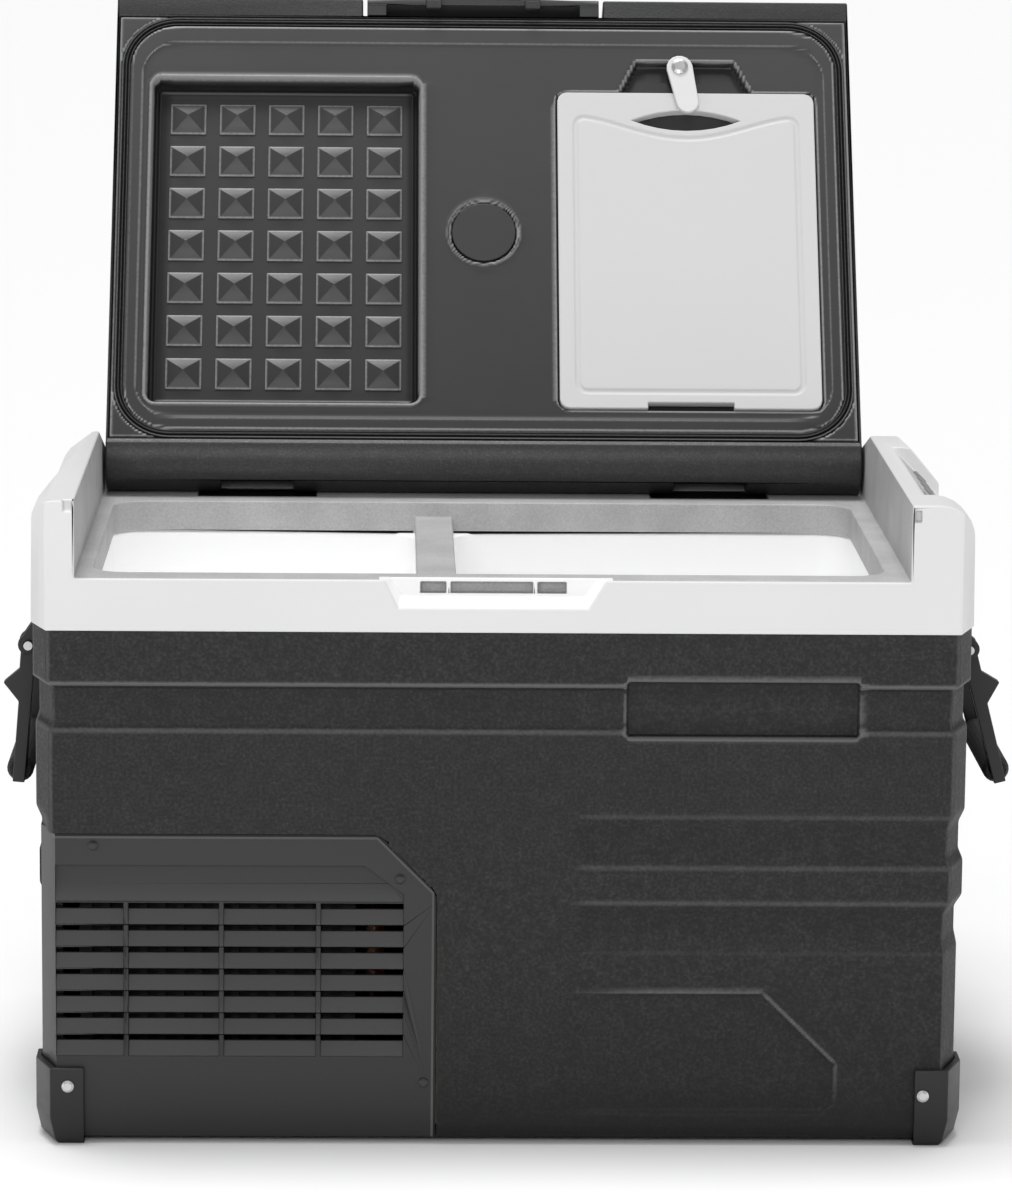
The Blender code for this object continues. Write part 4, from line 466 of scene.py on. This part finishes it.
def softened(node, width, finish, angle=28.0, segments=2, cutter=None):
    """A copy of a part, its triangles joined back into convex faces and its edges rounded."""
    mesh = NODES[node].data.copy()
    mesh.name = node + "_finished"
    shape = bmesh.new()
    shape.from_mesh(mesh)
    bmesh.ops.remove_doubles(shape, verts=shape.verts, dist=0.00002)
    if cutter:
        shape = carved(shape, cutter)
    bmesh.ops.dissolve_limit(shape, angle_limit=math.radians(0.4), verts=shape.verts, edges=shape.edges)
    bmesh.ops.connect_verts_concave(shape, faces=shape.faces)
    shape.to_mesh(mesh)
    shape.free()
    mesh.materials.clear()
    mesh.materials.append(finish)
    mesh.shade_smooth()
    mesh.set_sharp_from_angle(angle=math.radians(angle))
    made = bpy.data.objects.new(node + "_finished", mesh)
    bpy.context.scene.collection.objects.link(made)
    edge = made.modifiers.new("rounded_edges", "BEVEL")
    edge.width = width
    edge.segments = segments
    edge.limit_method = "ANGLE"
    edge.angle_limit = math.radians(angle)
    edge.use_clamp_overlap = False
    edge.loop_slide = False
    edge.harden_normals = False
    shade = made.modifiers.new("even_shading", "WEIGHTED_NORMAL")
    shade.keep_sharp = False
    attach(made, body_of(node))
    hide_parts(node)
    return made


def painted(node, finish):
    """Give a part's own mesh a finish."""
    data = NODES[node].data
    data.materials.clear()
    data.materials.append(finish)


softened("top_frame", 1.2 * MM, RIM)
softened("compressor_cover", 0.45 * MM, COVER, 24.0)
softened("inner_liner", 2.0 * MM, LINER, 30.0, 3)
softened("lid_outer", 1.4 * MM, BARREL)
softened("board_clip", 0.9 * MM, CLIP)
softened("lid_latch", 0.7 * MM, LID)
softened("foam_port_cap", 0.5 * MM, LID)
for corner in ("front_left", "front_right", "rear_left", "rear_right"):
    softened("corner_guard_" + corner, 1.0 * MM, GUARD)
    painted("guard_screw_" + corner, STEEL)
for side in ("left", "right"):
    softened("handle_bracket_" + side, 0.6 * MM, GUARD)
    softened("handle_bail_" + side, 0.7 * MM, GUARD)
    softened("hinge_bracket_" + side, 0.5 * MM, BLACK_STEEL)
    painted("handle_grip_" + side, GRIP)
    painted("handle_rod_" + side, STEEL)
    painted("hinge_pin_" + side, STEEL)
softened("control_panel", 0.5 * MM, CONSOLE)
softened("power_inlet", 0.5 * MM, GUARD)
softened("inlet_cover", 0.4 * MM, RUBBER)
for name in ("power", "set", "up", "down"):
    painted("button_" + name, BUTTON)
for name, finish in {
        "base_tray": GUARD, "insulation_foam": FOAM, "evaporator_plate": ALUMINIUM,
        "cover_screw_1": BLACK_STEEL, "cover_screw_2": BLACK_STEEL, "cover_screw_3": BLACK_STEEL,
        "display_window": GLASS, "control_board": CIRCUIT, "compressor": BLACK_STEEL,
        "compressor_grommet_1": RUBBER, "compressor_grommet_2": RUBBER, "compressor_grommet_3": RUBBER,
        "condenser": FIN, "fan_frame": BAY, "fan_rotor": BAY, "drive_module": ALUMINIUM,
        "filter_drier": COPPER, "discharge_pipe": COPPER, "suction_pipe": COPPER, "lid_foam": FOAM,
        "clip_screw": STEEL, "latch_pin": STEEL}.items():
    painted(name, finish)

# ---------------------------------------------------------------- outer shell

HALF_WIDTH, HALF_DEPTH = 305.0, 201.0
CORNER_ACROSS, CORNER_BACK = 11.0, 30.0
SHELL_BOTTOM, SHELL_TOP, WALL_LINE = 4.0, 342.0, 11.0
FACE_X, SIDE_Y = HALF_WIDTH - CORNER_ACROSS, HALF_DEPTH - CORNER_BACK
LOWER_INSET, WAIST_INSET, PLAIN_LOW, PLAIN_HIGH = 4.5, 1.5, 12.0, 221.0
FADE_START, FADE_END = 35.0, 60.0
BANDS = np.array([(4.0, 10.5), (6.0, 6.5), (12.0, 4.5), (129.5, 4.5), (139.0, 6.5), (155.0, 6.5),
                  (163.5, 2.0), (187.0, 2.0), (194.0, 5.0), (212.0, 5.0), (221.0, 1.5), (277.0, 1.5),
                  (281.0, 4.0), (305.5, 4.0), (306.0, 0.0), (342.0, 0.0)])
COVER_EDGE = {"right": -41.4, "top": 208.6, "back": -145.4}
CORNER_REACH = 12.0
LIP_DEPTH = 5.0
COVER_CURVE = 16.6


def softly(values, spread):
    """A function's mean over a short stretch either side, which rounds its corners."""
    return lambda at: np.mean([values(at + shift) for shift in np.linspace(-spread, spread, 9)], axis=0)


def shell_path():
    """The shell seen from above: for a length along its perimeter, counted from the front's left end, the
    outer point and the direction in which an inset moves it."""
    corners = np.array([(-FACE_X, -HALF_DEPTH), (FACE_X, -HALF_DEPTH), (HALF_WIDTH, -SIDE_Y),
                        (HALF_WIDTH, SIDE_Y), (FACE_X, HALF_DEPTH), (-FACE_X, HALF_DEPTH),
                        (-HALF_WIDTH, SIDE_Y), (-HALF_WIDTH, -SIDE_Y)])
    ends = np.roll(corners, -1, axis=0)
    runs = np.hypot(*(ends - corners).T)
    starts = np.concatenate(([0.0], np.cumsum(runs)))
    total = starts[-1]
    stations, inward = [], []
    for number, (start, run) in enumerate(zip(starts, runs)):
        here, there = -np.sign(corners[number]), -np.sign(ends[number])
        stations.append(start)
        inward.append(here)
        if run > 3 * CORNER_REACH:
            flat = (here + there) / 2
            stations += [start + CORNER_REACH, start + run - CORNER_REACH]
            inward += [flat, flat]
    stations, inward = np.array(stations), np.array(inward)

    def point(at):
        return np.stack([np.interp(at, starts, np.append(corners[:, k], corners[0, k]), period=total)
                         for k in (0, 1)], axis=-1)

    def push(at):
        return np.stack([np.interp(at, stations, inward[:, k], period=total) for k in (0, 1)], axis=-1)

    return softly(point, 3.0), softly(push, 3.0), starts


def marked(made, values):
    """Store a piece's edge marks: above 0 on proud edges, below 0 in hollows; finishes turn them into painted
    highlights and painted shade.
    """
    edge = made.data.attributes.new("edge", "FLOAT", "POINT")
    edge.data.foreach_set("value", np.ravel(values).astype(np.float32))


def make_shell():
    """The shell's outer wall as a grid of perimeter by height, each point pushed in by the moulded relief:
    bands by height, fading on the front's left part, a block recess in the upper groove and a low panel."""
    point, push, starts = shell_path()
    total = starts[-1]
    left_back = starts[7] - (SIDE_Y + COVER_EDGE["back"]) - total
    on_front = np.array([COVER_EDGE["right"], 80.0, 230.0]) + FACE_X
    fine = [(on_front[0] - 52.0, on_front[0] + 2.0, 2.0), (on_front[1] - 3, on_front[1] + 3, 1.0),
            (on_front[2] - 3, on_front[2] + 3, 1.0), (FADE_START + FACE_X, FADE_END + FACE_X, 3.0),
            (FACE_X + 166.0, FACE_X + 222.0, 1.5)]
    fine += [(start - 7.0, start + 7.0, 1.4) for start in starts[1:-1]]
    fine += [(0.0, 7.0, 1.4), (total - 7.0, total - 1.0, 1.4)]
    exact = [on_front[0], total + left_back, on_front[1], on_front[2]]
    at = banded_lines(0.0, total - 1.2, fine, 9.0, exact)
    rows = banded_lines(SHELL_BOTTOM, SHELL_TOP, [(height - 3.0, height + 3.0, 1.0) for height in BANDS[:, 0]]
                        + [(168.0, 212.0, 2.0), (52.0, 106.0, 1.5), (15.0, 29.0, 1.0), (271.0, 313.0, 2.0),
                           (272.0, 276.0, 0.8), (308.0, 312.0, 0.8), (SHELL_BOTTOM, 12.0, 0.8)],
                        8.0, [COVER_EDGE["top"]])
    z, s = np.meshgrid(rows, at, indexing="ij")

    def relief(z, s):
        x = s - FACE_X
        banded = softly(lambda h: np.interp(h, *BANDS.T), 1.5)(z)
        plain_line = LOWER_INSET + (WAIST_INSET - LOWER_INSET) * (z - PLAIN_LOW) / (PLAIN_HIGH - PLAIN_LOW)
        plain = np.where((z > PLAIN_LOW) & (z < PLAIN_HIGH), plain_line, banded)
        front = s <= starts[1]
        weight = np.where(front, 1.0 - ease(x, FADE_START, FADE_END), ease(s, starts[7], total))
        inset = weight * plain + (1.0 - weight) * banded
        block = slab_distance(x, z, 80.0, 230.0, 274.0, 310.0, 2.0)
        inset = np.where(front, inset + (6.5 - inset) * (1.0 - ease(block, -1.2, 0.9)), inset)
        slope = ((x - 170.0) * 47.0 + (z - 102.0) * 48.0) / 67.2
        notch = (7.0 * (x - 210.0) + 8.0 * (22.0 - z)) / 10.6
        panel = np.maximum.reduce([x - 218.0, z - 102.0, 22.0 - z, slope, notch])
        depth = 2.6 * np.clip((x - FADE_START) / 60.0, 0.0, 1.0) * (1.0 - ease(panel, -2.6, 2.0))
        return np.where(front & (x > FADE_START), inset + depth, inset)

    inset = relief(z, s)
    around = [relief(z + rise, s + run) for rise, run in
              ((2.6, 0.0), (-2.6, 0.0), (0.0, 2.6), (0.0, -2.6), (1.4, 0.0), (-1.4, 0.0))]
    wide = [relief(z + rise, s + run) for rise, run in
            ((9.0, 0.0), (-9.0, 0.0), (16.0, 0.0), (-16.0, 0.0), (0.0, 8.0), (0.0, -8.0))]
    # Edge marks for painted light: highlights on proud relief edges and the corner edges, away from the foot,
    # and painted shade in hollows
    proud = np.clip((np.mean(around, axis=0) - inset) / 0.5, 0.0, 1.0) * ease(z, 14.0, 60.0)
    hollow = np.clip((inset - np.mean(wide, axis=0)) / 3.2, 0.0, 1.0)
    corner_near = np.min(np.abs(s[..., None] - starts[None, None, :]), axis=-1)
    proud = np.maximum(proud, 0.45 * (1.0 - ease(corner_near, 0.6, 3.0)) * ease(z, 14.0, 60.0)) - 0.7 * hollow

    # The opening for the cooling unit's cover: points near its sloping corner are drawn onto it
    wrapped = np.where(s > total / 2, s - total, s)
    across = wrapped - FACE_X
    low = np.array((COVER_EDGE["right"] - COVER_CURVE, COVER_EDGE["top"] - 45.6))
    high = np.array((COVER_EDGE["right"] - 44.6, COVER_EDGE["top"] - COVER_CURVE))
    lean = np.array((0.7071, 0.7071))
    diagonal = (across - low[0]) * lean[0] + (z - low[1]) * lean[1] - COVER_CURVE
    round_low = np.hypot(across - low[0], z - low[1]) - COVER_CURVE
    round_high = np.hypot(across - high[0], z - high[1]) - COVER_CURVE
    corner = np.where(z - high[1] > across - high[0], round_high, diagonal)
    corner = np.where(z - low[1] < across - low[0], round_low, corner)
    corner = np.where((across > high[0]) & (z > low[1]), corner, -99.0)
    edge = np.maximum.reduce([across - COVER_EDGE["right"], z - COVER_EDGE["top"], left_back - wrapped,
                              corner])
    near = (np.abs(corner) < 1.3) & (across > high[0] - 1) & (z > low[1] - 1)
    gradient = np.stack(np.gradient(corner, rows, at), axis=-1)
    size = np.maximum(np.linalg.norm(gradient, axis=-1, keepdims=True), 0.5)
    move = np.where(near[..., None], corner[..., None] * gradient / size ** 2, 0.0)
    z, s = z - move[..., 0], s - move[..., 1]
    places = np.concatenate((point(s) + inset[..., None] * push(s), z[..., None]), axis=-1)

    # Returns at the foot and the top close the wall's edges
    turn = np.concatenate((point(at) + WALL_LINE * push(at), np.zeros((len(at), 1))), axis=-1)
    foot, head = turn.copy(), turn.copy()
    foot[:, 2], head[:, 2] = SHELL_BOTTOM, SHELL_TOP
    places = np.concatenate((foot[None], places, head[None]))
    edge = np.concatenate((edge[:1], edge, edge[-1:]))
    count = len(at)
    faces = grid_faces(len(places), count, closed_columns=True)
    middle = (edge + np.roll(edge, -1, axis=1))[:-1] + (edge + np.roll(edge, -1, axis=1))[1:]
    keep = middle > 0.0
    inward = LIP_DEPTH * push(np.tile(at, (len(places), 1)))
    inner = places + np.concatenate((inward, np.zeros((*places.shape[:2], 1))), axis=-1)
    index = np.arange(places.shape[0] * count).reshape(-1, count)
    level = keep[1:] != keep[:-1]
    upright = keep != np.roll(keep, 1, axis=1)
    level_lips = np.stack((index[1:-1][level], np.roll(index, -1, axis=1)[1:-1][level]), axis=-1)
    upright_lips = np.stack((index[:-1][upright], index[1:][upright]), axis=-1)
    lips = np.concatenate((level_lips, upright_lips))
    flips = np.concatenate((keep[1:][level], ~keep[upright]))
    used, slot = np.unique(lips, return_inverse=True)
    slot = slot.reshape(lips.shape) + places.shape[0] * count
    quads = np.stack((lips[:, 0], lips[:, 1], slot[:, 1], slot[:, 0]), axis=-1)
    quads[flips] = quads[flips][:, ::-1]
    vertices = np.concatenate((places.reshape(-1, 3), inner.reshape(-1, 3)[used]))
    made = object_from("outer_shell_moulding", vertices, [faces[keep], quads], SHELL, "cabinet",
                       ["outer_shell"])
    proud = np.concatenate((np.zeros((1, count)), proud, np.zeros((1, count)))).ravel()
    marked(made, np.append(proud, np.zeros(len(used))))


def banded_lines(start, end, fine, coarse, exact=()):
    """Grid lines from start to end at a coarse step, closer together inside each fine band, and at exact
    places."""
    parts = [np.arange(start, end, coarse)] + [np.arange(low, high, step) for low, high, step in fine]
    found = np.unique(np.concatenate(parts))
    found = found[(found > start + 0.4) & (found < end - 0.4)]
    fixed = np.concatenate(([start, end], exact))
    found = found[np.min(np.abs(found[:, None] - fixed[None, :]), axis=1) > 0.5]
    gaps = np.concatenate(([9.0], np.diff(found)))
    return np.unique(np.concatenate((fixed, found[gaps > 0.4])))


make_shell()

# ---------------------------------------------------------------- lid's inner face

HINGE = Vector((-7.3, 154.0, 402.0))
LID_TURN = np.array(Matrix.Rotation(math.radians(-122.5), 3, "X"))
FACE = -23.5
POCKET_DEPTH = 14.0
BED_DEPTH = 7.2


def in_lid(points):
    """Points in the lid's own frame (across, towards the hinge, up with the lid closed) taken to their
    place."""
    return np.asarray(points) @ LID_TURN.T + np.array(HINGE)


def make_lid_panel():
    """The lid's inner face as a height over a grid: a groove for the gasket, a bead inside it, the deep
    pocket, the board's bed with its finger scoop, and the port's seat."""
    fine = [(-265.0, -236.0, 1.4), (-250.5, -246.5, 0.8), (-243.0, -232.0, 0.9), (-52.0, -43.0, 0.9),
            (-28.0, 28.0, 1.5), (51.0, 56.0, 0.8), (90.0, 114.0, 2.0), (132.0, 153.0, 1.5),
            (179.0, 203.0, 2.0),
            (238.0, 243.0, 0.8), (243.0, 265.0, 1.4)]
    u_lines = banded_lines(-264.3, 264.3, fine, 8.0)
    fine = [(3.0, 26.0, 1.6), (25.0, 30.0, 0.8), (30.0, 40.0, 0.9), (138.0, 194.0, 1.5), (278.0, 282.0, 0.8),
            (281.0, 291.0, 0.9), (288.0, 309.0, 1.4), (303.0, 308.0, 0.9), (308.0, 339.0, 1.5)]
    v_lines = banded_lines(3.0, 339.0, fine, 8.0)
    v, u = np.meshgrid(v_lines, u_lines, indexing="ij")

    def sunk(u, v):
        ring = slab_distance(u, v, -262.0, 262.0, 3.5, 338.0, 40.0)
        deep = 1.4 * ease(ring, -7.2, -6.3) * (1.0 - ease(ring, 0.2, 0.7))
        bead = slab_distance(u, v, -248.5, 248.5, 18.0, 320.0, 28.0)
        deep -= 1.1 * np.exp(-((bead / 1.5) ** 2)) - 0.7 * (1.0 - ease(bead, -3.0, -1.0))
        pocket = slab_distance(u, v, -239.0, -46.0, 32.0, 289.0, 7.0)
        hollow = deep * ease(pocket, -1.0, 0.9) + POCKET_DEPTH * (1.0 - ease(pocket, -2.4, 0.9))
        deep = np.where(pocket < 0.9, hollow, deep)
        deep -= 0.9 * np.exp(-(((pocket + 5.0) / 1.1) ** 2)) + 0.8 * np.exp(-(((pocket - 2.2) / 1.1) ** 2))
        bed = slab_distance(u, v, 52.5, 240.5, 27.0, 280.0, 8.0)
        deep = np.maximum(deep, BED_DEPTH * (1.0 - ease(bed, -0.9, 0.7)))
        half = 35.5 + (306.0 - v) * 0.5
        scoop = np.maximum(v - 306.0, (np.abs(u - 146.5) - half) * 0.894)
        scoop = np.where(v > 270.0, scoop, 99.0)
        deep = np.maximum(deep, BED_DEPTH * (1.0 - ease(scoop, -2.6, 0.8)))
        boss = 1.0 - ease(np.hypot(u - 142.5, v - 298.0), 7.4, 8.6)
        deep = deep * (1.0 - boss) - 1.0 * boss
        port = np.hypot(u, v - 166.0)
        deep = deep + 3.4 * (1.0 - ease(port, 22.9, 23.9)) - 0.5 * np.exp(-(((port - 26.2) / 1.2) ** 2))
        rim = slab_distance(u, v, -264.3, 264.3, 3.0, 339.0, 1.0)
        deep = np.where(rim > -0.05, 3.4, np.maximum(deep, deep + 1.0 * ease(rim, -1.4, 0.0)))
        return deep

    deep = sunk(u, v)
    cross = np.array([(1.0, 0.0), (-1.0, 0.0), (0.0, 1.0), (0.0, -1.0)])
    around, wide = [np.mean([sunk(u + step, v + rise) for step, rise in reach * cross], axis=0)
                    for reach in (1.3, 6.0)]
    # Edge marks for painted light: highlights on proud edges, painted shade in hollows and in the deep pocket
    # and bed
    proud = np.clip((around - deep) / 0.35, 0.0, 1.0)
    mark = proud - np.clip((deep - wide) / 1.6, 0.0, 1.0) - 0.28 * (deep > 5.0)
    points = in_lid(np.stack((u, -v, FACE + deep), axis=-1).reshape(-1, 3))
    faces = grid_faces(len(v_lines), len(u_lines)).reshape(-1, 4)
    made = object_from("lid_inner_moulding", points, [faces], PANEL, "lid", ["lid_inner_panel"])
    marked(made, mark)


def make_pyramids():
    """Thirty-five low pyramids with blunt tips on the pocket's floor, five across and seven up, with painted
    shade at their feet and painted highlights along their lower edges.
    """
    column, row = np.meshgrid(np.arange(5), np.arange(7))
    centre = np.stack((-213.5 + 35.5 * column, -(59.1 + 33.8 * row)), axis=-1).reshape(-1, 1, 2)
    corner = np.array([(-1, -1), (1, -1), (1, 1), (-1, 1)])
    rings = [(13.0, 12.3, 0.8), (12.8, 12.1, -0.9), (11.9, 11.2, -1.2), (10.8, 10.1, -1.5), (0.9, 0.9, -7.8)]
    # Edge marks ring by ring from the foot: painted shade, two rings of painted highlight, then a little
    # painted shade
    marks = np.tile(np.repeat((-0.7, 0.75, 0.6, -0.2, -0.1), 4), 35)
    levels = [np.concatenate((centre + corner * (half_u, half_v),
                              np.full((35, 4, 1), FACE + POCKET_DEPTH + height)), axis=-1)
              for half_u, half_v, height in rings]
    points = np.stack(levels, axis=1).reshape(-1, 3)
    start = 20 * np.arange(35)[:, None]
    ring = np.arange(4)
    walls = np.concatenate([np.stack((ring + 4 * level, ring + 4 * level + 4, (ring + 1) % 4 + 4 * level + 4,
                                      (ring + 1) % 4 + 4 * level), axis=-1) for level in range(4)])
    faces = (start[:, :, None] + np.concatenate((walls, [[19, 18, 17, 16]]))[None]).reshape(-1, 4)
    made = object_from("pocket_pyramids", in_lid(points), [faces], PANEL, "lid")
    marked(made, marks)
    edge = made.modifiers.new("rounded_edges", "BEVEL")
    edge.width = 0.35 * MM
    edge.segments = 2
    edge.limit_method = "ANGLE"
    edge.angle_limit = math.radians(20.0)
    return made


def make_gasket():
    """The lid's seal: a flat band with two low lips and a taller bead between them, all the way round, with
    painted highlight lines along the lips and the bead.
    """
    path, out = round_rectangle(-262.0, 262.0, -338.0, -3.5, 40.0, 14)
    profile = np.array([(0.0, -22.3), (0.0, -23.8), (-0.5, -24.3), (-1.1, -24.2), (-1.6, -23.5),
                        (-2.2, -23.6), (-2.6, -24.5), (-3.2, -24.7), (-3.8, -24.5), (-4.3, -23.6),
                        (-4.9, -23.5), (-5.4, -24.0), (-5.9, -23.6), (-6.0, -22.3)])
    points, faces = swept(path, profile, out)
    made = object_from("lid_seal", in_lid(points), [faces], RUBBER, "lid", ["lid_gasket"])
    # Painted highlight lines along the lips and the bead
    marks = np.array((0.0, 0.0, 1.0, 0.7, 0.0, 0.0, 0.0, 0.5, 0.0, 0.0, 0.0, 0.9, 0.0, 0.0))
    marked(made, np.tile(marks, len(path)))


make_lid_panel()
make_pyramids()
make_gasket()

# ---------------------------------------------------------------- cutting board

BOARD_MIDDLE, GROOVE_TOP, GROOVE_RADIUS, GROOVE_AXIS = 146.5, -259.0, 2.5, -25.8


def juice_groove():
    """The cutter for the board's groove: a round rod swept round the board. Its top side sags under the hole
    by 17 mm times (1 - a^2)^2, where a runs from -1 to 1 across the board."""
    path, out = round_rectangle(BOARD_MIDDLE - 80.0, BOARD_MIDDLE + 80.0, GROOVE_TOP, -41.0, 7.0, 8)
    spare = np.linspace(-0.9, 0.9, 25)
    low = np.stack((BOARD_MIDDLE + 80.0 * spare, np.full(25, GROOVE_TOP)), axis=-1)
    first = int(np.argmax(path[:, 0] > BOARD_MIDDLE))
    path = np.concatenate((path[:first], low, path[first:]))
    out = np.concatenate((out[:first], np.tile((0.0, -1.0), (25, 1)), out[first:]))
    across = (path[:, 0] - BOARD_MIDDLE) / 80.0
    path[:, 1] += np.where(path[:, 1] < -240.0, 17.0 * (1.0 - across ** 2) ** 2, 0.0)
    turn = np.linspace(0.0, 2.0 * math.pi, 12, endpoint=False)
    profile = np.stack((GROOVE_RADIUS * np.cos(turn), GROOVE_AXIS + GROOVE_RADIUS * np.sin(turn)), axis=-1)
    points, faces = swept(path, profile, out)
    cutter = bmesh.new()
    corners = [cutter.verts.new(point) for point in in_lid(points) * MM]
    for face in faces:
        cutter.faces.new([corners[number] for number in face])
    bmesh.ops.recalc_face_normals(cutter, faces=cutter.faces)
    return cutter


softened("cutting_board", 0.9 * MM, BOARD, 34.0, 3, juice_groove())

# ---------------------------------------------------------------- floor and light


FLOOR_HALF = 30.0


def make_stage():
    """The pale floor, the soft sky and the lamps."""
    floor_finish = Finish("pale_floor", (0.9, 0.9, 0.9), 0.7)
    floor_finish.bump(floor_finish.noise(300.0, 2.0), 0.00002, 0.2)
    mesh = bpy.data.meshes.new("studio_floor")
    corners = [(x * FLOOR_HALF, y * FLOOR_HALF, 0.0) for x, y in ((-1, -1), (1, -1), (1, 1), (-1, 1))]
    mesh.from_pydata(corners, [], [(0, 1, 2, 3)])
    mesh.materials.append(floor_finish.material)
    floor = bpy.data.objects.new("studio_floor", mesh)
    bpy.context.scene.collection.objects.link(floor)
    world = bpy.data.worlds.new("studio")
    world.use_nodes = True
    sky = world.node_tree.nodes["Background"]
    sky.inputs["Color"].default_value = (1.0, 1.0, 1.0, 1.0)
    sky.inputs["Strength"].default_value = 0.42
    bpy.context.scene.world = world
    bpy.context.scene.view_settings.view_transform = "Standard"
    sun = bpy.data.lights.new("studio_sun", "SUN")
    sun.energy = 2.2
    sun.angle = math.radians(24.0)
    lamp = bpy.data.objects.new("studio_sun", sun)
    bpy.context.scene.collection.objects.link(lamp)
    lamp.rotation_euler = (math.radians(-4.0), math.radians(-4.0), 0.0)
    area_light("key", (-0.35, -3.2, 1.5), (0.0, 0.0, 0.4), (1.6, 0.8), 31.0)
    area_light("left_strip", (-2.2, -0.9, 0.8), (0.0, 0.0, 0.35), (0.35, 1.6), 5.0)
    area_light("right_strip", (2.2, -0.9, 0.8), (0.0, 0.0, 0.35), (0.35, 1.6), 5.0)


make_stage()
